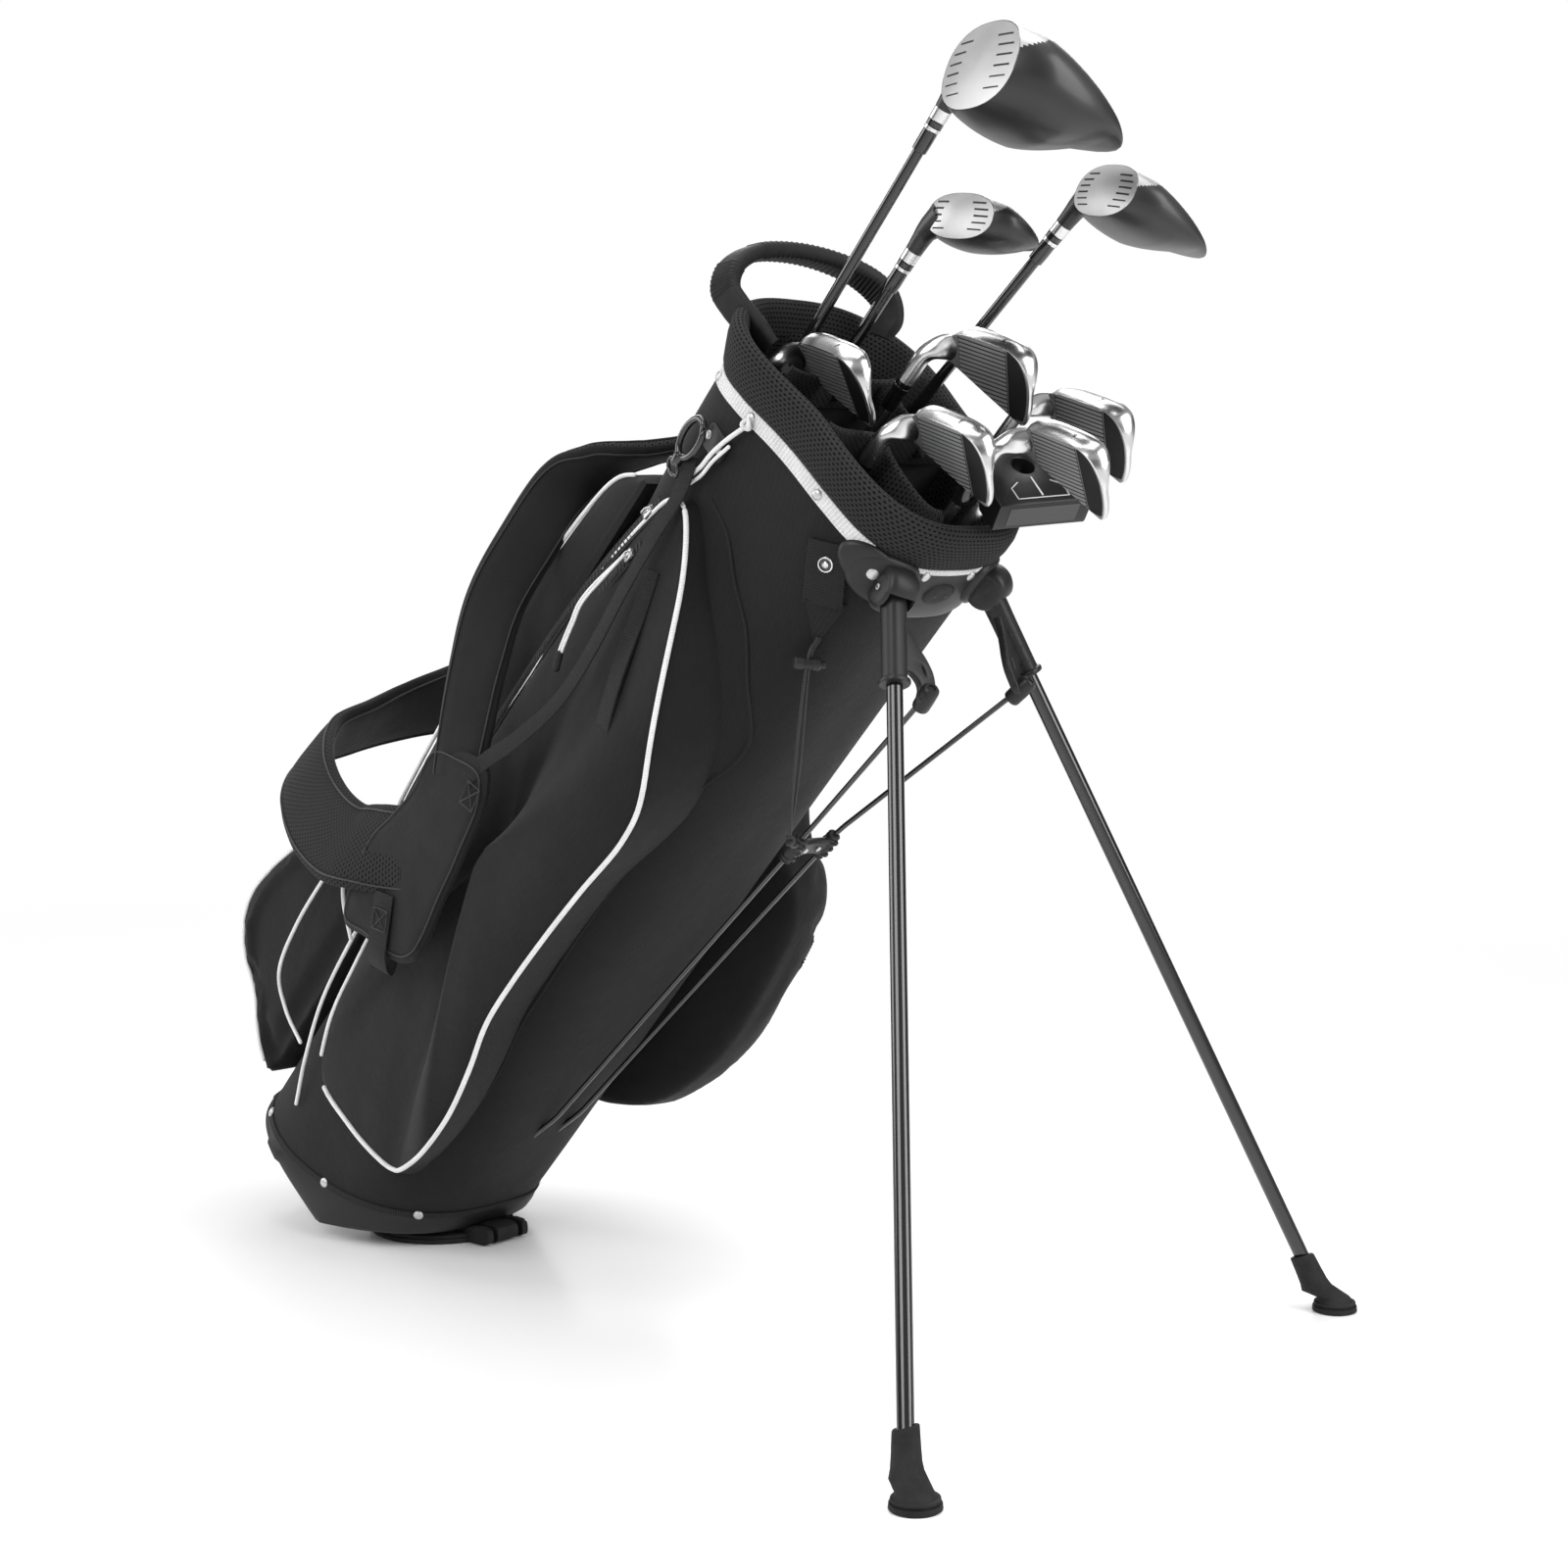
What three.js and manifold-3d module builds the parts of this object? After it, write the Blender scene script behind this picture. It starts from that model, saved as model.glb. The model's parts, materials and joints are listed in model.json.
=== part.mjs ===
// A golf club set: a stand bag leaning on its two open legs, with nine clubs in it.
// Millimetres, +Z up, +X towards the legs. The origin is on the ground, under the middle of the foot plate.
// The bag has its own frame, `bag`: z runs up the bag's axis, x to its front (leg) side, y to its far side.

import * as THREE from 'three';
import { mergeVertices } from 'three/addons/utils/BufferGeometryUtils.js';
import Module from 'manifold-3d';

const wasm = await Module();
wasm.setup();

// ---------------------------------------------------------------- driving dimensions

const GAP = 0.3; // running clearance between neighbouring pieces
const ROUND = 14; // sides of a small round piece
const LEAN = THREE.MathUtils.degToRad(41); // the bag leans this far to the front
const BAG_AT = new THREE.Vector3(-49.8, 0, 66.3); // the bag frame's origin on the ground frame

// bag body: rounded-rectangle tube
const BODY_DEPTH = 226;
const BODY_WIDTH = 191;
const BODY_WALL = 3;
const BODY_BOTTOM = 44;
const BODY_TOP = 806;
const OVAL_POWER = 3; // 2 is an ellipse, more is squarer

// moulded bottom cup
const CUP_WALL = 3;
const CUP_BOTTOM = -43.5;
const CUP_TOP = 66;
const CUP_FLOOR = -24; // where the back clubs stand
const STEP_FLOOR = 19; // where the front clubs stand, over the foot plate's hollow
const STEP_AT = -10;
const SLOPE_FROM = 29; // the front of the cup is cut parallel to the ground from here
const FLOOR_SKIN = 4;

// mouth
const COLLAR_THICK = 12;
const COLLAR_BOTTOM = BODY_TOP + 2;
const COLLAR_TOP = 855;
const COLLAR_SLOPE = 0.16; // the collar's top falls this much per millimetre to the front
const DIVIDER_THICK = 7;
const DIVIDERS_ACROSS = [-50, 8]; // depth of each bar that runs from side to side
const DIVIDERS_ALONG = [[-120, -50, -12], [-50, 8, 37], [8, 120, -28]]; // [from x, to x, y]
const HANDLE_WIDTH = 22;
const HANDLE_THICK = 13;

// pockets and shoulder straps
const NEAR_POCKET_THICK = 36;
const FAR_POCKET_THICK = 44;
const BALL_POCKET_HALF_WIDTH = 78;
const UPPER_POCKET_HALF_WIDTH = 70;
const STRAP_WIDTH = 52;
const STRAP_THICK = 14;
const STRAP_STEPS = 14;

// stand
const PIVOT = new THREE.Vector3(117.2, 59.5, 780.6); // far leg's pivot; the near one is its mirror image
const LEG_OUT = new THREE.Vector3(0.801, 0.342, -0.492).normalize(); // far leg, open
const LEG_RADIUS = 6;
const LEG_FIRST = 18; // the leg tube starts this far below its pivot
const SLEEVE_RADIUS = 9.5;
const YOKE_BOTTOM = 752;
const YOKE_TOP = 803;
const YOKE_HALF_WIDTH = 76;
const YOKE_OUTSET = 6;
const CHEEK_THICK = 4; // walls on both sides of each leg's pivot
const CHEEK_RADIUS = 12;
const BADGE_RADIUS = 16;
const PIN_REACH = 13.6; // half the length of a leg's pin
const SLEEVE_END = 74;
const HOOK_DROP = 77.5; // down the leg from the pivot to the rod's clamp
const HOOK_REACH = 28.4; // from the leg inwards to the rod's clamp
const HOOK_CLAMP = 20; // length of the clamp that the wire's end reaches
const WIRE_END_GAP = 12; // clearance at the open pivot, between the wire's end and the clamp
const FOOT_RADIUS = 18;
const FOOT_SHIFT = 8; // the pad stands forward of the leg's own line
const WIRE_RADIUS = 2;

// foot plate
const PLATE_RADIUS = 64;
const PLATE_THICK = 11.5;
const HINGE = new THREE.Vector3(14, 0, 19); // plate hinge, in the ground frame
const ROD_HINGE = new THREE.Vector3(77.5, 0, 11.3); // wire's hinge on the plate's nose, in the ground frame
const PIN_RADIUS = 2.5;
const CLIP_AT = 0.955; // place of the clip that ties the wire's arms, as a share of their straight part
const CLIP_SIZE = [9, 52, 26];

// clubs
const GRIP_LENGTH = 268;
const GRIP_BUTT_RADIUS = 13;
const GRIP_MOUTH_RADIUS = 8.6;
const SHAFT_BUTT_RADIUS = 7.4;
const WOOD_LIE = THREE.MathUtils.degToRad(58); // between the shaft and the sole's heel-to-toe line
const IRON_LIE = THREE.MathUtils.degToRad(66);
const PUTTER_LIE = THREE.MathUtils.degToRad(72);
const FERRULE_LENGTH = 26;
const BORE_DEPTH = 22;
const MOUTH_HEIGHT = 850; // where each club's place in the mouth is stated

// ---------------------------------------------------------------- materials

function finish(color, roughness, metalness) {
  return new THREE.MeshStandardMaterial({ color, roughness, metalness });
}

const fabric = finish(0x1b1b1d, 0.9, 0);
const padding = finish(0x101011, 0.95, 0);
const plastic = finish(0x161617, 0.5, 0);
const rubber = finish(0x131313, 0.8, 0);
const tubing = finish(0x0c0c0d, 0.18, 0.7);
const steel = finish(0xc9c9cb, 0.2, 1);
const chrome = finish(0xe2e2e4, 0.08, 1);
const lacquer = finish(0x070708, 0.15, 0.1);

// ---------------------------------------------------------------- shape helpers

const vec = (x, y, z) => new THREE.Vector3(x, y, z);

function toSolid(geometry) {
  const bare = geometry.clone();
  bare.deleteAttribute('normal');
  bare.deleteAttribute('uv');
  const welded = mergeVertices(bare, 1e-4);
  const triVerts = new Uint32Array(welded.index.array);
  const vertProperties = new Float32Array(welded.attributes.position.array);
  return new wasm.Manifold(new wasm.Mesh({ numProp: 3, vertProperties, triVerts }));
}

function toGeometry(solid) {
  const mesh = solid.getMesh();
  const geometry = new THREE.BufferGeometry();
  geometry.setAttribute('position', new THREE.BufferAttribute(new Float32Array(mesh.vertProperties), 3));
  geometry.setIndex(new THREE.BufferAttribute(new Uint32Array(mesh.triVerts), 1));
  const flat = geometry.toNonIndexed();
  flat.computeVertexNormals();
  return flat;
}

function join(...geometries) {
  return toGeometry(geometries.map(toSolid).reduce((sum, piece) => sum.add(piece)));
}

function cut(geometry, ...tools) {
  return toGeometry(tools.map(toSolid).reduce((rest, tool) => rest.subtract(tool), toSolid(geometry)));
}

function common(a, b) {
  return toGeometry(toSolid(a).intersect(toSolid(b)));
}

function box(x0, x1, y0, y1, z0, z1) {
  const made = new THREE.BoxGeometry(x1 - x0, y1 - y0, z1 - z0);
  return made.translate((x0 + x1) / 2, (y0 + y1) / 2, (z0 + z1) / 2);
}

// a cone or cylinder whose axis runs from one point to another
function rod(from, to, radius, endRadius = radius, sides = ROUND) {
  const along = to.clone().sub(from);
  const made = new THREE.CylinderGeometry(endRadius, radius, along.length(), sides);
  made.applyQuaternion(new THREE.Quaternion().setFromUnitVectors(vec(0, 1, 0), along.clone().normalize()));
  const middle = from.clone().add(to).multiplyScalar(0.5);
  return made.translate(middle.x, middle.y, middle.z);
}

// a turned piece on the z axis; the profile is [radius, height] pairs
function turned(profile, sides = ROUND) {
  const points = profile.map(([radius, height]) => new THREE.Vector2(radius, height));
  return new THREE.LatheGeometry(points, sides).rotateX(Math.PI / 2);
}

function ovalPoints(halfDepth, halfWidth, count = 44) {
  return Array.from({ length: count }, (_, i) => {
    const angle = (2 * Math.PI * i) / count;
    const c = Math.cos(angle);
    const s = Math.sin(angle);
    const x = halfDepth * Math.sign(c) * Math.abs(c) ** (2 / OVAL_POWER);
    const y = halfWidth * Math.sign(s) * Math.abs(s) ** (2 / OVAL_POWER);
    return new THREE.Vector2(x, y);
  });
}

// an upright prism of the bag's rounded section, `outset` larger than the body all round
function ovalPrism(outset, z0, z1) {
  const shape = new THREE.Shape(ovalPoints(BODY_DEPTH / 2 + outset, BODY_WIDTH / 2 + outset));
  return new THREE.ExtrudeGeometry(shape, { depth: z1 - z0, bevelEnabled: false }).translate(0, 0, z0);
}

function ovalRing(outer, inner, z0, z1) {
  const shape = new THREE.Shape(ovalPoints(BODY_DEPTH / 2 + outer, BODY_WIDTH / 2 + outer));
  shape.holes.push(new THREE.Path(ovalPoints(BODY_DEPTH / 2 + inner, BODY_WIDTH / 2 + inner)));
  return new THREE.ExtrudeGeometry(shape, { depth: z1 - z0, bevelEnabled: false }).translate(0, 0, z0);
}

// a side-view outline of [x, z] pairs, given thickness from y0 to y1, with softened edges
function sideSlab(outline, y0, y1, soften = 0) {
  const shape = new THREE.Shape(outline.map(([x, z]) => new THREE.Vector2(x, z)));
  const made = new THREE.ExtrudeGeometry(shape, {
    depth: y1 - y0 - 2 * soften,
    bevelEnabled: soften > 0,
    bevelThickness: soften,
    bevelSize: soften,
    bevelOffset: -soften,
    bevelSegments: 2,
  });
  return made.rotateX(Math.PI / 2).translate(0, y1 - soften, 0);
}

// a flat bar bent along a curve; its width direction turns evenly from `startWide` to `endWide`
function strap(points, width, thick, steps, startWide, endWide = startWide) {
  const path = new THREE.CatmullRomCurve3(points);
  const positions = [];
  for (let i = 0; i <= steps; i += 1) {
    const at = path.getPoint(i / steps);
    const along = path.getTangent(i / steps);
    const wide = startWide.clone().lerp(endWide, i / steps);
    wide.addScaledVector(along, -wide.dot(along)).normalize();
    const through = along.clone().cross(wide);
    for (const [w, t] of [[-1, -1], [1, -1], [1, 1], [-1, 1]]) {
      const corner = at.clone().addScaledVector(wide, (w * width) / 2);
      corner.addScaledVector(through, (t * thick) / 2);
      positions.push(...corner.toArray());
    }
  }
  const faces = [0, 2, 1, 0, 3, 2];
  for (let i = 0; i < steps; i += 1) {
    for (let k = 0; k < 4; k += 1) {
      const a = 4 * i + k;
      const b = 4 * i + ((k + 1) % 4);
      faces.push(a, b, b + 4, a, b + 4, a + 4);
    }
  }
  const end = 4 * steps;
  faces.push(end, end + 1, end + 2, end, end + 2, end + 3);
  const made = new THREE.BufferGeometry();
  made.setAttribute('position', new THREE.Float32BufferAttribute(positions, 3));
  made.setIndex(faces);
  return made;
}

function part(name, geometry, material, parent) {
  const mesh = new THREE.Mesh(geometry, material);
  mesh.name = name;
  parent.add(mesh);
  return mesh;
}

// ---------------------------------------------------------------- frames

const set = new THREE.Group();
const bag = new THREE.Group();
bag.position.copy(BAG_AT);
bag.rotation.y = LEAN;
bag.updateMatrix();
set.add(bag);

const toBag = (point) => point.clone().applyMatrix4(bag.matrix.clone().invert());
const hingeInBag = toBag(HINGE);
const rodHingeInBag = toBag(ROD_HINGE);

// ---------------------------------------------------------------- bag body and bottom

part('bag_tube', ovalRing(0, -BODY_WALL, BODY_BOTTOM, BODY_TOP), fabric, bag);

// everything below a plane that rises at the lean angle towards the front
function belowSlope(atX, atZ, y0, y1) {
  const rise = Math.tan(LEAN);
  const reach = 200;
  const outline = [
    [atX - reach, atZ - reach * rise],
    [atX + reach, atZ + reach * rise],
    [atX + reach, atZ - reach * rise - reach],
    [atX - reach, atZ - reach * rise - reach],
  ];
  return sideSlab(outline, y0, y1);
}

function baseCup() {
  const wide = 150;
  const outside = ovalPrism(GAP + CUP_WALL, CUP_BOTTOM, CUP_TOP);
  const room = ovalPrism(GAP, CUP_FLOOR, CUP_TOP + 1);
  const skin = FLOOR_SKIN / Math.cos(LEAN);
  const step = box(STEP_AT, wide, -wide, wide, CUP_BOTTOM, STEP_FLOOR);
  const inside = cut(room, step, belowSlope(SLOPE_FROM, CUP_BOTTOM + skin, -wide, wide));
  const plateRoom = box(STEP_AT + 5, wide, -70, 70, CUP_BOTTOM - 1, STEP_FLOOR - 3);
  const shell = cut(outside, inside, belowSlope(SLOPE_FROM, CUP_BOTTOM, -wide, wide), plateRoom);
  const lugs = [-1, 1].map((side) => {
    const near = side * 23;
    const far = side * 31;
    const top = STEP_FLOOR - 2;
    const cheek = box(hingeInBag.x - 6.5, hingeInBag.x + 6.5, Math.min(near, far), Math.max(near, far),
      hingeInBag.z, top);
    const round = rod(vec(hingeInBag.x, near, hingeInBag.z), vec(hingeInBag.x, far, hingeInBag.z), 6.5);
    return join(cheek, round);
  });
  const pinHole = rod(vec(hingeInBag.x, -33, hingeInBag.z), vec(hingeInBag.x, 33, hingeInBag.z),
    PIN_RADIUS + GAP);
  return cut(join(shell, ...lugs), pinHole);
}

part('base_cup', baseCup(), plastic, bag);
part('foot_hinge_pin', rod(vec(hingeInBag.x, -31.5, hingeInBag.z), vec(hingeInBag.x, 31.5, hingeInBag.z),
  PIN_RADIUS), steel, bag);

// ---------------------------------------------------------------- mouth, dividers and handle

const collarTopAt = (x) => COLLAR_TOP - COLLAR_SLOPE * x;

function collar() {
  const ring = ovalRing(3, 3 - COLLAR_THICK, COLLAR_BOTTOM, COLLAR_TOP + 40);
  const reach = 150;
  const above = sideSlab([
    [-reach, collarTopAt(-reach)],
    [reach, collarTopAt(reach)],
    [reach, COLLAR_TOP + 90],
    [-reach, COLLAR_TOP + 90],
  ], -reach, reach);
  return cut(ring, above);
}

function divider() {
  const low = COLLAR_BOTTOM + 2;
  const high = COLLAR_TOP - 20;
  const half = DIVIDER_THICK / 2;
  const across = DIVIDERS_ACROSS.map((x) => box(x - half, x + half, -110, 110, low, high));
  const along = DIVIDERS_ALONG.map(([x0, x1, y]) => box(x0, x1, y - half, y + half, low, high));
  return common(join(...across, ...along), ovalPrism(3 - COLLAR_THICK - GAP, low, high));
}

function liftHandle() {
  const nearFoot = [vec(-110, -63, 850), vec(-130, -70, 849)];
  const nearShoulder = [vec(-150, -64, 859), vec(-162, -34, 872)];
  const crown = vec(-161, 0, 879);
  const farShoulder = [vec(-150, 30, 883), vec(-130, 54, 886)];
  const farFoot = vec(-106, 64, 888);
  const points = [...nearFoot, ...nearShoulder, crown, ...farShoulder, farFoot];
  return strap(points, HANDLE_WIDTH, HANDLE_THICK, 22, vec(0.8, 0, 0.6));
}

part('top_collar', collar(), padding, bag);
part('top_divider', divider(), padding, bag);
part('lift_handle', liftHandle(), rubber, bag);

// ---------------------------------------------------------------- pockets and straps

const SIDE_FACE = BODY_WIDTH / 2 + 1;
const BACK_FACE = BODY_DEPTH / 2 + 5;

const nearPocket = [[-60, 92], [-20, 78], [45, 74], [70, 90], [74, 190], [66, 290], [68, 400], [72, 512],
  [46, 603], [18, 658], [-36, 722], [-60, 700]];
const farPocket = [[-60, 150], [66, 139], [114, 175], [146, 224], [158, 300], [150, 400], [128, 446],
  [60, 500], [-60, 520]];
const ballPocket = [[-BACK_FACE, 20], [-190, -14], [-232, 20], [-240, 110], [-214, 196], [-160, 250],
  [-BACK_FACE, 262]];
const upperPocket = [[-BACK_FACE, 275], [-152, 290], [-160, 470], [-146, 640], [-BACK_FACE, 690]];

part('near_pocket', sideSlab(nearPocket, -SIDE_FACE - NEAR_POCKET_THICK, -SIDE_FACE, 8), fabric, bag);
part('far_pocket', sideSlab(farPocket, SIDE_FACE, SIDE_FACE + FAR_POCKET_THICK, 10), fabric, bag);
part('ball_pocket', sideSlab(ballPocket, -BALL_POCKET_HALF_WIDTH, BALL_POCKET_HALF_WIDTH, 8), fabric, bag);
part('upper_pocket', sideSlab(upperPocket, -UPPER_POCKET_HALF_WIDTH, UPPER_POCKET_HALF_WIDTH, 8), fabric,
  bag);

const nearStrap = [vec(-136, -20, 716), vec(-190, -52, 660), vec(-232, -96, 560), vec(-226, -142, 440),
  vec(-170, -160, 320)];
const farStrap = [vec(-196, -158, 262), vec(-262, -110, 240), vec(-296, 0, 262), vec(-262, 96, 330),
  vec(-180, 120, 400)];

const shoulderStrap = (points, startWide, endWide) =>
  strap(points, STRAP_WIDTH, STRAP_THICK, STRAP_STEPS, startWide, endWide);
part('shoulder_strap_near', shoulderStrap(nearStrap, vec(0, 1, 0), vec(1, 0.6, 0)), padding, bag);
part('shoulder_strap_far', shoulderStrap(farStrap, vec(0, 0, 1)), padding, bag);

// ---------------------------------------------------------------- leg yoke

const mirrorY = (point, side) => vec(point.x, point.y * side, point.z);
const openWay = (side) => mirrorY(LEG_OUT, side);
// each leg turns about this line; a positive turn folds it to the bag
const hingeWay = (side) => vec(-side * openWay(1).y, openWay(1).x, 0).normalize();

function yoke() {
  const reach = 160;
  const below = YOKE_BOTTOM - 12;
  const above = YOKE_TOP + 12;
  const skin = ovalRing(YOKE_OUTSET, GAP, YOKE_BOTTOM, YOKE_TOP);
  const window = box(70, reach, -YOKE_HALF_WIDTH, YOKE_HALF_WIDTH, below, above);
  const plate = common(skin, window);
  const cheeks = [-1, 1].flatMap((side) => {
    const pivot = mirrorY(PIVOT, side);
    const turn = Math.atan2(hingeWay(side).y, hingeWay(side).x) - Math.PI / 2;
    return [-1, 1].map((flank) => {
      const y0 = flank > 0 ? SLEEVE_RADIUS + GAP : -SLEEVE_RADIUS - GAP - CHEEK_THICK;
      const y1 = y0 + CHEEK_THICK;
      const cheek = box(-16, 0, y0, y1, -CHEEK_RADIUS, CHEEK_RADIUS);
      const nose = rod(vec(0, y0, 0), vec(0, y1, 0), CHEEK_RADIUS, CHEEK_RADIUS, 18);
      const both = join(cheek, nose).rotateZ(turn).translate(pivot.x, pivot.y, pivot.z);
      return both;
    });
  });
  const holes = [-1, 1].map((side) => {
    const pivot = mirrorY(PIVOT, side);
    const reachPin = hingeWay(side).multiplyScalar(16);
    return rod(pivot.clone().sub(reachPin), pivot.clone().add(reachPin), PIN_RADIUS + GAP);
  });
  // room for each sleeve: round its hinge, and below it where it lies when the leg is folded
  const rooms = [-1, 1].flatMap((side) => {
    const pivot = mirrorY(PIVOT, side);
    const half = hingeWay(side).multiplyScalar(SLEEVE_RADIUS + GAP);
    const radius = SLEEVE_RADIUS + 2 * GAP;
    return [
      rod(pivot.clone().sub(half), pivot.clone().add(half), radius, radius, 18),
      rod(pivot.clone().setZ(below), pivot, radius, radius, 18),
    ];
  });
  const inside = ovalPrism(GAP, below, above);
  return cut(join(plate, ...cheeks), inside, ...holes, ...rooms);
}

part('leg_yoke', yoke(), plastic, bag);
const badgeBack = BODY_DEPTH / 2 + YOKE_OUTSET + 0.4;
const badgeHeight = (YOKE_BOTTOM + YOKE_TOP) / 2 - 0.5;
const badge = rod(vec(badgeBack, 0, badgeHeight), vec(badgeBack + 2.6, 0, badgeHeight), BADGE_RADIUS,
  BADGE_RADIUS - 1, 24);
part('yoke_badge', badge, plastic, bag);

// ---------------------------------------------------------------- legs

function legPieces(side, word) {
  const pivot = mirrorY(PIVOT, side);
  const way = openWay(side);
  const axis = hingeWay(side);
  const down = (distance) => pivot.clone().addScaledVector(way, distance);
  const inward = axis.clone().multiplyScalar(-side);
  const pinEnd = axis.clone().multiplyScalar(PIN_REACH);
  const pin = rod(pivot.clone().sub(pinEnd), pivot.clone().add(pinEnd), PIN_RADIUS);
  part(`leg_pin_${word}`, pin, steel, bag);

  // ground level and its normal, seen from the bag's frame
  const up = vec(0, 0, 1).applyAxisAngle(vec(0, 1, 0), -LEAN);
  const forward = vec(1, 0, 0).applyAxisAngle(vec(0, 1, 0), -LEAN);
  const ground = toBag(vec(0, 0, 0));
  const legLength = pivot.clone().sub(ground).dot(up) / -way.dot(up);
  const tip = down(legLength);

  const tube = rod(down(LEG_FIRST), down(legLength - 12), LEG_RADIUS);
  part(`leg_tube_${word}`, tube, tubing, bag);

  const knuckle = rod(pivot.clone().addScaledVector(axis, -SLEEVE_RADIUS),
    pivot.clone().addScaledVector(axis, SLEEVE_RADIUS), SLEEVE_RADIUS);
  const barrel = rod(pivot, down(SLEEVE_END), SLEEVE_RADIUS);
  const hook = down(HOOK_DROP).addScaledVector(inward, HOOK_REACH);
  const armRoot = down(SLEEVE_END - 8).addScaledVector(inward, 3);
  const arm = rod(armRoot, hook, 5, 4.5, 8);
  const wireWay = wirePath(side)[0].clone().sub(wirePath(side)[1]).normalize();
  const clampHalf = wireWay.clone().multiplyScalar(HOOK_CLAMP / 2);
  const clamp = rod(hook.clone().sub(clampHalf), hook.clone().add(clampHalf), 6);
  const bore = rod(down(LEG_FIRST - GAP), down(SLEEVE_END + 20), LEG_RADIUS + GAP);
  const pinHole = rod(pivot.clone().sub(pinEnd), pivot.clone().add(pinEnd), PIN_RADIUS + GAP);
  part(`leg_sleeve_${word}`, cut(join(knuckle, barrel, arm, clamp), bore, pinHole), plastic, bag);

  // rubber foot: a socket on the tube and a pad whose underside is flat on the ground
  const padBase = tip.clone().addScaledVector(forward, FOOT_SHIFT);
  const padTop = padBase.clone().addScaledVector(up, 8);
  const pad = rod(padBase, padTop, FOOT_RADIUS, FOOT_RADIUS - 4, 24);
  const socket = rod(down(legLength - 46), down(legLength - 4), 9.5, 12);
  const socketBore = rod(down(legLength - 60), down(legLength - 12 + GAP), LEG_RADIUS + GAP);
  const belowGround = rod(padBase.clone().addScaledVector(up, -30), padBase, 40, 40, 24);
  part(`leg_foot_${word}`, cut(join(pad, socket), socketBore, belowGround), rubber, bag);
}

// ---------------------------------------------------------------- foot plate and wire rods

// the wire's corners on one side, from its end at the hook down to its hinge
function wirePath(side) {
  const pivot = mirrorY(PIVOT, side);
  const hook = pivot.clone().addScaledVector(openWay(side), HOOK_DROP)
    .addScaledVector(hingeWay(side), -side * HOOK_REACH);
  const upperBend = vec(160.3, 38.7 * side, 632);
  const end = hook.clone().sub(upperBend);
  end.setLength(end.length() - HOOK_CLAMP / 2 - WIRE_END_GAP).add(upperBend);
  return [
    end,
    upperBend,
    vec(156.3, 21 * side, 562),
    vec(119.5, 15 * side, 181),
    vec(rodHingeInBag.x, 15 * side, rodHingeInBag.z),
  ];
}

// straight round bars with a ball at each inner corner, joined into one wire
function wire() {
  const corners = [...wirePath(-1), ...wirePath(1).reverse()];
  const bars = corners.slice(1).map((corner, i) => rod(corners[i], corner, WIRE_RADIUS, WIRE_RADIUS, 10));
  const balls = corners.slice(1, -1).map((corner) =>
    new THREE.SphereGeometry(WIRE_RADIUS * 1.01, 10, 6).translate(corner.x, corner.y, corner.z));
  return join(...bars, ...balls);
}

function rodClip() {
  const low = wirePath(1)[3];
  const high = wirePath(1)[2];
  const along = (share, y) => vec(low.x + (high.x - low.x) * share, y, low.z + (high.z - low.z) * share);
  const way = along(1, 0).sub(along(0, 0)).normalize();
  const centre = along(CLIP_AT, 0);
  const made = new THREE.BoxGeometry(...CLIP_SIZE);
  made.applyQuaternion(new THREE.Quaternion().setFromUnitVectors(vec(0, 0, 1), way));
  made.translate(centre.x, centre.y, centre.z);
  const grooves = [-1, 1].map((side) => {
    const corner = wirePath(side);
    return rod(corner[3], corner[2], WIRE_RADIUS + GAP, WIRE_RADIUS + GAP, 10);
  });
  return cut(made, ...grooves);
}

for (const [side, word] of [[-1, 'near'], [1, 'far']]) {
  legPieces(side, word);
}
part('stand_wire', wire(), tubing, bag);
part('wire_clip', rodClip(), plastic, bag);

function footPlate() {
  const disc = turned([[0, 0], [PLATE_RADIUS - 2, 0], [PLATE_RADIUS, 2], [PLATE_RADIUS - 3, PLATE_THICK],
    [0, PLATE_THICK]], 40);
  const nose = box(40, ROD_HINGE.x + 7, -24, 24, 1, PLATE_THICK + 5);
  const noseTop = box(40, ROD_HINGE.x + 8, -25, 25, PLATE_THICK, PLATE_THICK + 6);
  const lugs = [-1, 1].map((side) => {
    const y0 = side > 0 ? 14 : -22.5;
    const post = box(HINGE.x - 6, HINGE.x + 6, y0, y0 + 8.5, PLATE_THICK - 3, HINGE.z);
    const round = rod(vec(HINGE.x, y0, HINGE.z), vec(HINGE.x, y0 + 8.5, HINGE.z), 6);
    return join(post, round);
  });
  const pinHole = rod(vec(HINGE.x, -33, HINGE.z), vec(HINGE.x, 33, HINGE.z), PIN_RADIUS + GAP);
  const wireHole = rod(vec(ROD_HINGE.x, -30, ROD_HINGE.z), vec(ROD_HINGE.x, 30, ROD_HINGE.z),
    WIRE_RADIUS + GAP);
  // two open slots let the wire's arms swing up out of the nose
  const slots = [-15, 15].map((y) => box(ROD_HINGE.x - 30, ROD_HINGE.x + 20, y - 2.6, y + 2.6, 3, 30));
  return cut(join(cut(join(disc, nose), noseTop), ...lugs), pinHole, wireHole, ...slots);
}

part('foot_plate', footPlate(), rubber, set);

// ---------------------------------------------------------------- clubs
// A club's own frame: z runs from the butt up the shaft to the head, the toe points to x, the face to -y.

const grip = (tipRadius) => turned([[0, 0], [GRIP_BUTT_RADIUS, 1], [GRIP_BUTT_RADIUS, 12],
  [GRIP_MOUTH_RADIUS, GRIP_LENGTH], [tipRadius + GAP, GRIP_LENGTH], [tipRadius + GAP, 8], [0, 8]], 12);

function shaftRadii(tip) {
  const taper = (SHAFT_BUTT_RADIUS - tip) / 900;
  return { butt: SHAFT_BUTT_RADIUS, atGrip: SHAFT_BUTT_RADIUS - taper * GRIP_LENGTH, tip };
}

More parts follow.
